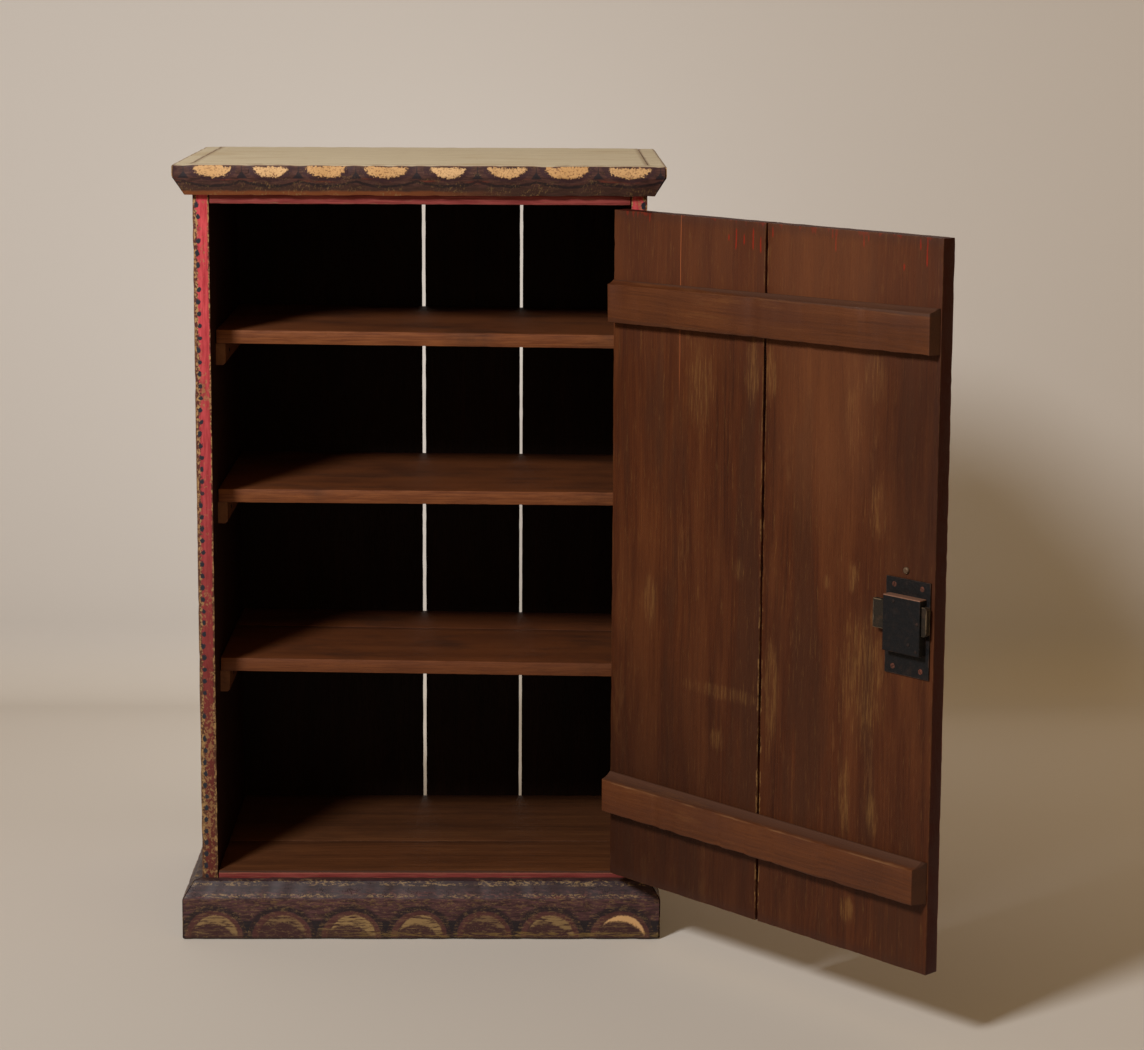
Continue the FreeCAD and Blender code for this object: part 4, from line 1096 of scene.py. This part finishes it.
def plank_finish(name, seed, low, high):
    """A door plank: rubbed reddish wood inside, old red paint outside, pale worn edges."""
    def make(place):
        x, y, z = sides_of(place)
        across = -x
        colour, height, cloud = aged_wood(place, seed, (43, 17, 7), (74, 35, 14), (101, 56, 26))
        zone = mottle(place, (0.022, 0.022, 0.0026), 3, 0.55, (seed, 2, 4))
        colour = blend(zone.rise(0.48, 0.62) * 0.60, colour, (61, 33, 18))
        colour = blend(zone.rise(0.48, 0.32) * 0.45, colour, (98, 54, 26))
        high_up = (z + zone * 200.0).rise(820.0, 980.0)
        colour = blend(high_up * 0.30, colour, (92, 53, 37))
        rubbed = rubbed_places(place)
        fine = mottle(place, (0.40, 0.40, 0.030), 5, 0.72, (seed, seed, 0))
        pale = (fine + rubbed * 0.17 - 0.09).rise(0.46, 0.70)
        colour = blend(pale * 0.30 + rubbed * 0.06, colour, (142, 102, 54))
        sparse = rubbed_streaks(place, along=34.0, across=5.0, amount=-0.03, seed=seed)
        colour = blend(sparse * 0.25, colour, (120, 80, 44))
        ragged = mottle(place, (0.2, 0.2, 0.05), 4, 0.7, (1, seed, 2)) - 0.5
        at_joint = ((across - PLANK_JOINT).size() + ragged * 5.0).rise(4.6, 2.6)
        joint_wear = (mottle(place, (0.3, 0.3, 0.06), 4, 0.7, (seed, 8, 8)).rise(0.47, 0.58)
                      * at_joint * (z.rise(760.0, 480.0) * 0.6 + 0.4))
        from_top = high.z * MM - z
        colour = blend(red_paint_runs(place, from_top) * 0.85, colour, (132, 32, 15))
        crack = (across - CRACK_AT + (mottle(place, (0, 0, 0.012), 2) - 0.5) * 3.0).size()
        crack = crack.rise(0.75, 0.35) * (z + ragged * 20.0).rise(690.0, 800.0)
        colour = blend(crack * 0.7, colour, (166, 92, 52))
        low_left = (z + ragged * 60.0).rise(560.0, 120.0) * across.rise(420.0, 40.0)
        colour = blend(low_left * 0.7, colour, (44, 20, 8))
        sunned = ((z + ragged * 80.0).rise(560.0, 700.0) * across.rise(258.0, 310.0)
                  * across.rise(450.0, 400.0))
        colour = blend(sunned * 0.35, colour, (112, 66, 38))
        by_lock = ((across + ragged * 30.0).rise(425.0, 470.0) * z.rise(440.0, 540.0)
                   * z.rise(860.0, 740.0))
        colour = blend(by_lock * 0.5, colour, (54, 27, 14))
        dark_ends = (from_top.at_most(z - low.z * MM) + ragged * 10.0).rise(16.0, 3.0)
        colour = blend(dark_ends * 0.35, colour, (60, 36, 28))
        worn = worn_edges(place, *middle_and_half(low - PIN, high - PIN), 1.5, seed)
        colour = blend(worn * 0.18, colour, (122, 82, 48))
        colour = blend(joint_wear * 0.65, colour, (146, 108, 64))
        inner = y - 5.0                               # 0 on the outer face, 21 on the inner one
        outer, outer_height = old_red_paint(place, seed)
        outside = (inner + ragged * 2.0).rise(2.0, 1.0)
        edge_grain = (inner + ragged).rise(19.6, 18.6) * (1.0 - outside)
        colour = blend(edge_grain * 0.9, colour, (58, 13, 5))
        return (blend(outside, colour, outer), blend(outside, height, outer_height) - crack * 0.6,
                0.44 + cloud * 0.18 + rubbed * 0.1)
    return material(name, make, door=True, depth=0.25, specular=0.18)


LOCK_LOW, LOCK_HIGH = shut_box("lock_plate")
KEY_X = (LOCK_LOW.x + LOCK_HIGH.x) / 2
KEY_Z = shut_box("lock_bolt")[0].z - 0.010
KEY_RADIUS = 0.0045
KEY_SLOT_HALF = 0.0025
KEY_SLOT_TALL = 0.013

for node, seed in (("door_plank_hinge", 41.0), ("door_plank_lock", 43.0)):
    low, high = shut_box(node)
    plank = board(node + "_board", low, high, pitch=0.004, arris=0.0004)
    if node == "door_plank_lock":
        start, stop = low.y - 0.005, high.y + 0.005
        bore(plank, KEY_X, KEY_Z, KEY_RADIUS, start, stop)
        hollow_out(plank, (KEY_X - KEY_SLOT_HALF, start, KEY_Z - KEY_SLOT_TALL),
                   (KEY_X + KEY_SLOT_HALF, stop, KEY_Z))
        smooth(plank)
    swing_open(plank)
    dress(plank, "door", "door_wood", plank_finish(node + "_finish", seed, low, high), node)


# ---- battens ----
BATTEN_HALF = 0.2595                       # half a batten's length
LIP = 0.0025                               # the square strip between the door and the hollow
HOLLOW_STEPS = 6


def batten_bar(node, tall, cove, hinge_bevel, lock_bevel, tilt):
    """A batten: squared stock with bevelled ends and a hollow cut along its top edge."""
    low, high = shut_box(node)
    centre = (low + high) / 2
    centre.y = 0
    low = Vector((centre.x - BATTEN_HALF, low.y + 0.0001, centre.z - tall / 2))
    high = Vector((centre.x + BATTEN_HALF, high.y - 0.0001, centre.z + tall / 2))
    piece = block(node + "_bar", low, high)
    depth = high.y - low.y
    for side, end, bevel in ((1, high.x, hinge_bevel), (-1, low.x, lock_bevel)):
        saw(piece, (end, low.y, centre.z), (side * depth, bevel, 0))
    saw(piece, (centre.x, low.y + LIP, high.z), (0, cove, depth - LIP))

    def slope_across(a, b):
        step = b - a
        return (abs(step.x) < 0.9 * step.length and min(a.z, b.z) > high.z - cove - 0.0002
                and min(a.y, b.y) > low.y + LIP - 0.0005 and step.length > 0.005)

    pick(piece, slope_across)
    bpy.ops.mesh.subdivide(number_cuts=HOLLOW_STEPS - 1)
    done()
    for step in range(1, HOLLOW_STEPS):
        share = step / HOLLOW_STEPS
        sag = share * (1 - share) * cove
        y, z = low.y + LIP + (depth - LIP) * share, high.z - cove * share
        pick(piece, vertex_rule=lambda p: abs(p.y - y) < 0.0004 and abs(p.z - z) < 0.0004)
        bpy.ops.transform.translate(value=(0, -sag * cove / (depth - LIP), -sag))
        done()

    def arrises(a, b):
        middle = (a + b) / 2
        return ((b - a).length >= 0.004 and min(a.y, b.y) >= low.y + 0.0005
                and (middle.y > high.y - 0.0006 or abs(middle.z - low.z) < 0.0005))

    ease(piece, 0.0013, 3, arrises)
    divide(piece, 0, 0.004)
    press_in(piece, HAND_PLANING, 0.0004)
    mark(piece, lambda p: p.y > high.y - 0.002
         and (p.z > high.z - cove - 0.003 or p.z < low.z + 0.003))
    wear_arrises(piece, 0.0005, 0.0010, 28)
    move(piece, -centre)
    piece.rotation_euler = (0, math.radians(tilt), 0)
    settle(piece)
    move(piece, centre)
    swing_open(piece)
    return piece, low, high


def batten_finish(name, seed, low, high, cove, bevel, rim_wear):
    """Batten wood: grain along it, grey on the hollow that is dust and painted sheen, painted shade
    along its foot, a pale top edge that is wear and painted highlight.
    cove and bevel are in millimetres."""
    def make(place):
        x, _, z = sides_of(place)
        colour, height, cloud = aged_wood(along_x(place), seed, (62, 30, 12), (90, 48, 22),
                                          (112, 66, 33))
        bloom = mottle(place, (0.006, 0.02, 0.02), 3, 0.55, (seed, 2, 4)).rise(0.42, 0.70)
        colour = blend(bloom * 0.45, colour, (74, 40, 27))
        ragged = mottle(place, (0.06, 0.2, 0.2), 4, 0.7, (seed, 1, 2)) - 0.5
        from_top = high.z * MM - z
        # grey on the upward hollow: partly dust, partly painted sheen of the light from above
        dust = (from_top + ragged * 3.0).rise(cove + 1.2, cove - 1.0)
        colour = blend(dust * 0.7, colour, (72, 50, 40))
        # a pale line along the hollow's lower arris: partly wear, partly painted highlight
        rim = (from_top - cove - 1.4 + ragged * 2.0).size().rise(1.2, 0.5)
        rim = rim * mottle(place, (0.012, 0, 0), 2, 0.5, (seed, 0, 0)).rise(0.44, 0.60)
        colour = blend(rim * rim_wear, colour, (132, 94, 62))
        tip = (x - (low.x - PIN.x) * MM).rise(bevel + 0.6, bevel - 0.4)
        colour = blend(tip * 0.7, colour, (52, 28, 16))
        # darker along the batten's foot: painted shade under it
        foot = (z - low.z * MM + ragged * 3.0).rise(3.2, 0.6)
        colour = blend(foot * 0.5, colour, (64, 36, 22))
        rub = rubbed_streaks(along_x(place), along=40.0, across=6.0, amount=-0.01, seed=seed)
        return blend(rub * 0.2, colour, (120, 78, 42)), height, 0.42 + cloud * 0.18
    return material(name, make, door=True, depth=0.22)


for node, seed, tall, cove, hinge_bevel, lock_bevel, tilt, rim_wear in (
        ("batten_upper", 51.0, 0.0525, 0.0044, 0.0028, 0.0034, 0.95, 0.15),
        ("batten_lower", 53.0, 0.0492, 0.0065, 0.0024, 0.0070, -0.1, 0.55)):
    bar, low, high = batten_bar(node, tall, cove, hinge_bevel, lock_bevel, tilt)
    dress(bar, "door", "batten_wood", batten_finish(node + "_finish", seed, low, high, cove * MM,
                                                    lock_bevel * MM, rim_wear), node)


# ---- iron ----
def iron_finish(name, dark, rust, bare, metallic, wear=None, door=True):
    def make(place):
        worn = wear(place) if wear else mottle(place, (0.3, 0.3, 0.3), 3, 0.6).rise(0.62, 0.74) * 0.4
        colour, roughness, height = wrought_iron(place, dark, rust, bare, worn)
        return colour, height, roughness
    return material(name, make, door=door, depth=0.5, metallic=metallic, specular=0.35)


def stock_wear(node, reach, seed):
    low, high = shut_box(node)

    def wear(place):
        worn = worn_edges(place, *middle_and_half(low - PIN, high - PIN), reach, seed)
        spots = mottle(place, (0.22, 0.22, 0.22), 4, 0.7, (seed, 0, 0)).rise(0.64, 0.74)
        return (worn * 0.7 + spots * 0.2).at_most(0.8)
    return wear


def fold_wear(place):
    """The case's top fold made a pale coppery line, partly rubbed metal and partly painted highlight
    on its up-facing strip, its other arrises only a little.
    """
    ragged = mottle(place, (0.12, 0.3, 0.3), 3, 0.6) - 0.5
    top = (shut_box("lock_case")[1].z * MM - sides_of(place)[2] + ragged * 0.8).rise(1.5, 0.5)
    return (top * 0.85).at_least(stock_wear("lock_case", 0.7, 1.0)(place) * 0.35)


case_iron = iron_finish("lock_case_iron", (16, 16, 19), (30, 24, 23), (148, 108, 88), 0.35,
                        fold_wear)
plate_iron = iron_finish("lock_plate_iron", (17, 16, 18), (34, 25, 23), (80, 58, 48), 0.35,
                         stock_wear("lock_plate", 0.8, 2.0))
bolt_iron = iron_finish("lock_bolt_iron", (46, 39, 31), (62, 48, 36), (134, 116, 92), 0.5,
                        stock_wear("lock_bolt", 1.4, 3.0))
screw_iron = iron_finish("rusted_screw_iron", (84, 50, 39), (112, 60, 44), (136, 88, 68), 0.3)
rivet_iron = iron_finish("dark_rivet_iron", (34, 26, 24), (56, 36, 30), (74, 52, 44), 0.3)
stud_iron = iron_finish("bright_stud_iron", (112, 92, 72), (84, 60, 44), (190, 172, 146), 0.7)
hinge_iron = iron_finish("hinge_iron_finish", (34, 30, 29), (70, 46, 36), (112, 96, 84), 0.5,
                         door=False)
nail_iron = iron_finish("nail_iron_finish", (42, 30, 25), (84, 52, 36), (110, 88, 70), 0.3,
                        door=False)

# ---- the rim lock ----
for node, name, edge, body, iron in (
        ("lock_plate", "lock_plate_sheet", 0.0003, "door", plate_iron),
        ("lock_case", "lock_case_cover", 0.0003, "door", case_iron),
        ("lock_bolt", "lock_bolt_bar", 0.0005, "lock_bolt", bolt_iron)):
    dress(forged_copy(node, name, edge), body, "lock_iron", iron, node)


def centres_of(node, reach):
    """The middle of each separate solid in a node, at its inner end, with the door shut."""
    clusters = []
    for v in NODES[node].data.vertices:
        p = SHUT @ v.co
        near = [c for c in clusters if math.hypot(c[0].x - p.x, c[0].z - p.z) < reach]
        if near:
            near[0].append(p)
        else:
            clusters.append([p])
    boxes = [corners(cluster) for cluster in clusters]
    return [Vector(((low.x + high.x) / 2, high.y, (low.z + high.z) / 2)) for low, high in boxes]


def domed_head(name, radius, height, dome, slot_turn):
    """A forged head standing along +Y from its own foot, with a screwdriver slot if it has one."""
    head = rod(name, radius, height, (0, height / 2, 0), -math.pi / 2, 28)
    ease(head, dome, 4, lambda a, b: min(a.y, b.y) > height - 0.00002)
    if slot_turn is not None:
        half = 0.00045
        cutter = block("slot", (-radius * 1.2, height - 0.0007, -half),
                       (radius * 1.2, height * 2, half))
        cutter.rotation_euler = (0, slot_turn, 0)
        settle(cutter)
        cut_away(head, cutter)
    smooth(head)
    return head


def set_heads(name, node, radius, height, dome, sink, turns=(None,)):
    """One piece with a head at the place of each of a node's own fasteners."""
    heads = []
    for k, spot in enumerate(centres_of(node, radius * 2.4)):
        head = domed_head("%s_%d" % (name, k), radius, height, dome, turns[k % len(turns)])
        move(head, (spot.x, spot.y - sink, spot.z))
        heads.append(head)
    deselect()
    for head in heads:
        head.select_set(True)
    whole = heads[0]
    bpy.context.view_layer.objects.active = whole
    bpy.ops.object.join()
    whole.name = name
    swing_open(whole)
    return whole


for node, name, iron, sizes in (
        ("lock_screws", "lock_screw_heads", screw_iron,
         (0.0033, 0.0012, 0.0004, 0.0011, (0.5, 1.3, 2.2, 2.8))),
        ("lock_rivets", "lock_rivet_heads", rivet_iron, (0.0020, 0.0010, 0.0007, 0.0010)),
        ("door_stud", "door_stud_head", stud_iron, (0.0042, 0.0027, 0.0022, 0.0027))):
    dress(set_heads(name, node, *sizes), "door", "lock_fastener_iron", iron, node)

# ---- hinges and nails keep their nodes ----
PAINTED_OVER = {"top_nails": "top_board_paint", "carcass_nails": "side_left_paint",
                "cornice_nails": "cornice_front_paint", "plinth_nails": "plinth_front_paint"}
for node, piece in NODES.items():
    if node.startswith("hinge_"):
        finish = hinge_iron
    elif node.endswith("_nails"):
        finish = bpy.data.materials[PAINTED_OVER[node]] if node in PAINTED_OVER else nail_iron
    else:
        continue
    piece.data.materials.clear()
    piece.data.materials.append(finish)


# =====================================================================================
# The room: floor, backdrop, light and camera
# =====================================================================================
FLOOR_FRONT = -10.0
WALL_AT = 1.274
WALL_TALL = 4
ROOM_WIDTH = 14


def room_finish():
    """Matt and warm, paler where the key light is far, and clear from behind."""
    finish = bpy.data.materials.new("studio_sweep")
    tree = cleared(finish)
    out = tree.nodes.new("ShaderNodeOutputMaterial")
    surface = tree.nodes.new("ShaderNodeBsdfPrincipled")
    clear = tree.nodes.new("ShaderNodeBsdfTransparent")
    side = tree.nodes.new("ShaderNodeNewGeometry")
    mix = tree.nodes.new("ShaderNodeMixShader")
    tree.links.new(side.outputs["Backfacing"], mix.inputs[0])
    tree.links.new(surface.outputs[0], mix.inputs[1])
    tree.links.new(clear.outputs[0], mix.inputs[2])
    tree.links.new(mix.outputs[0], out.inputs["Surface"])
    where = tree.nodes.new("ShaderNodeTexCoord")
    x, y, z = sides_of(Wire(tree, where.outputs["Object"]))
    along, deep, tall = (v.at_least(-1.2).at_most(1.3) for v in (x, y, z))
    floor_light = 0.608 + along * 0.087 + along * along * 0.014 + deep * 0.141 - deep * deep * 0.060
    wall_light = 0.640 + along * 0.054 + tall * 0.187 - tall * tall * 0.125
    floor_colour = spread(place_of(1.0, 0.938, 0.862), place_of(*[floor_light] * 3))
    wall_colour = spread(place_of(1.0, 0.957, 0.915), place_of(*[wall_light] * 3))
    colour = blend(z.rise(0.0, 0.12), floor_colour, wall_colour)
    # a slight painted shade in the cove where the floor turns up into the wall
    cove = y.rise(1.02, 1.20) * z.rise(0.22, 0.03)
    join(tree, surface.inputs["Base Color"], blend(cove * 0.07, colour, (126, 120, 110)))
    join(tree, surface.inputs["Roughness"], 0.9)
    join(tree, surface.inputs["Specular IOR Level"], 0.1)
    return finish


def at_wall(a, b):
    return min(a.y, b.y) > WALL_AT - 0.05


deselect()
bpy.ops.mesh.primitive_plane_add(size=1, location=(0, (FLOOR_FRONT + WALL_AT) / 2, 0))
sweep = bpy.context.object
sweep.name = "studio_floor"
sweep.scale = (ROOM_WIDTH, WALL_AT - FLOOR_FRONT, 1)
settle(sweep)
pick(sweep, at_wall)
bpy.ops.mesh.extrude_region_move(TRANSFORM_OT_translate={"value": (0, 0, WALL_TALL)})
done()
ease(sweep, 0.12, 10, lambda a, b: at_wall(a, b) and max(a.z, b.z) < 0.01)
smooth(sweep, 60)
sweep.data.materials.append(room_finish())
sweep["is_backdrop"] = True

# the air: a warm fill for the cupboard, and a paler tone where the camera sees past the room
world = bpy.data.worlds.new("studio_air")
bpy.context.scene.world = world
air = cleared(world)
fill = air.nodes.new("ShaderNodeBackground")
fill.inputs["Color"].default_value = (1.0, 0.65, 0.28, 1)
fill.inputs["Strength"].default_value = 0.285
seen = air.nodes.new("ShaderNodeBackground")
seen.inputs["Color"].default_value = tint(190, 178, 164)
path = air.nodes.new("ShaderNodeLightPath")
choose = air.nodes.new("ShaderNodeMixShader")
leave = air.nodes.new("ShaderNodeOutputWorld")
air.links.new(path.outputs["Is Camera Ray"], choose.inputs[0])
air.links.new(fill.outputs[0], choose.inputs[1])
air.links.new(seen.outputs[0], choose.inputs[2])
air.links.new(choose.outputs[0], leave.inputs["Surface"])


def lamp(name, place, target, size, power):
    light = bpy.data.lights.new(name, "AREA")
    light.shape = "DISK"
    light.size = size
    light.energy = power
    holder = bpy.data.objects.new(name, light)
    bpy.context.scene.collection.objects.link(holder)
    holder.location = place
    holder.rotation_mode = "QUATERNION"
    holder.rotation_quaternion = (Vector(target) - Vector(place)).to_track_quat("-Z", "Y")
    holder.visible_camera = False


lamp("key_softbox", (-1.45, -2.15, 2.40), (0.15, 0.1, 0.45), 0.62, 87.0)
lamp("backdrop_lamp", (0.03, 0.62, 0.55), (0.03, 1.4, 0.40), 0.3, 1.0)

# ---- camera: it looks along +Y, turned by these angles, with its frame shifted down ----
EYE = (0.139064, -3.537779, 1.230542)
YAW = 0.0148006
PITCH = 0.1519142
ROLL = 0.0052990
SENSOR = 36.0
FRAME_WIDTH, FRAME_HEIGHT = 1144, 1050     # pixels, as the two below are
FOCAL_LENGTH = 2826.48
AXIS_ROW = 411                             # where the lens looks straight ahead, from the top


def aim_camera():
    ahead = Vector((math.sin(YAW) * math.cos(PITCH), math.cos(YAW) * math.cos(PITCH),
                    -math.sin(PITCH)))
    right = Vector((math.cos(YAW), -math.sin(YAW), 0))
    up = right.cross(ahead)
    side = right * math.cos(ROLL) + up * math.sin(ROLL)
    crown = up * math.cos(ROLL) - right * math.sin(ROLL)
    data = bpy.data.cameras.new("camera")
    data.sensor_width = SENSOR
    data.lens = FOCAL_LENGTH / FRAME_WIDTH * SENSOR
    data.shift_y = (AXIS_ROW - FRAME_HEIGHT / 2) / FRAME_WIDTH
    data.clip_start, data.clip_end = 0.05, 60
    eye = bpy.data.objects.new("camera", data)
    bpy.context.scene.collection.objects.link(eye)
    eye.matrix_world = Matrix([(side[i], crown[i], -ahead[i], EYE[i]) for i in range(3)]
                              + [(0, 0, 0, 1)])
    bpy.context.scene.camera = eye


aim_camera()
bpy.context.scene.view_settings.view_transform = "Standard"

low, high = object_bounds()
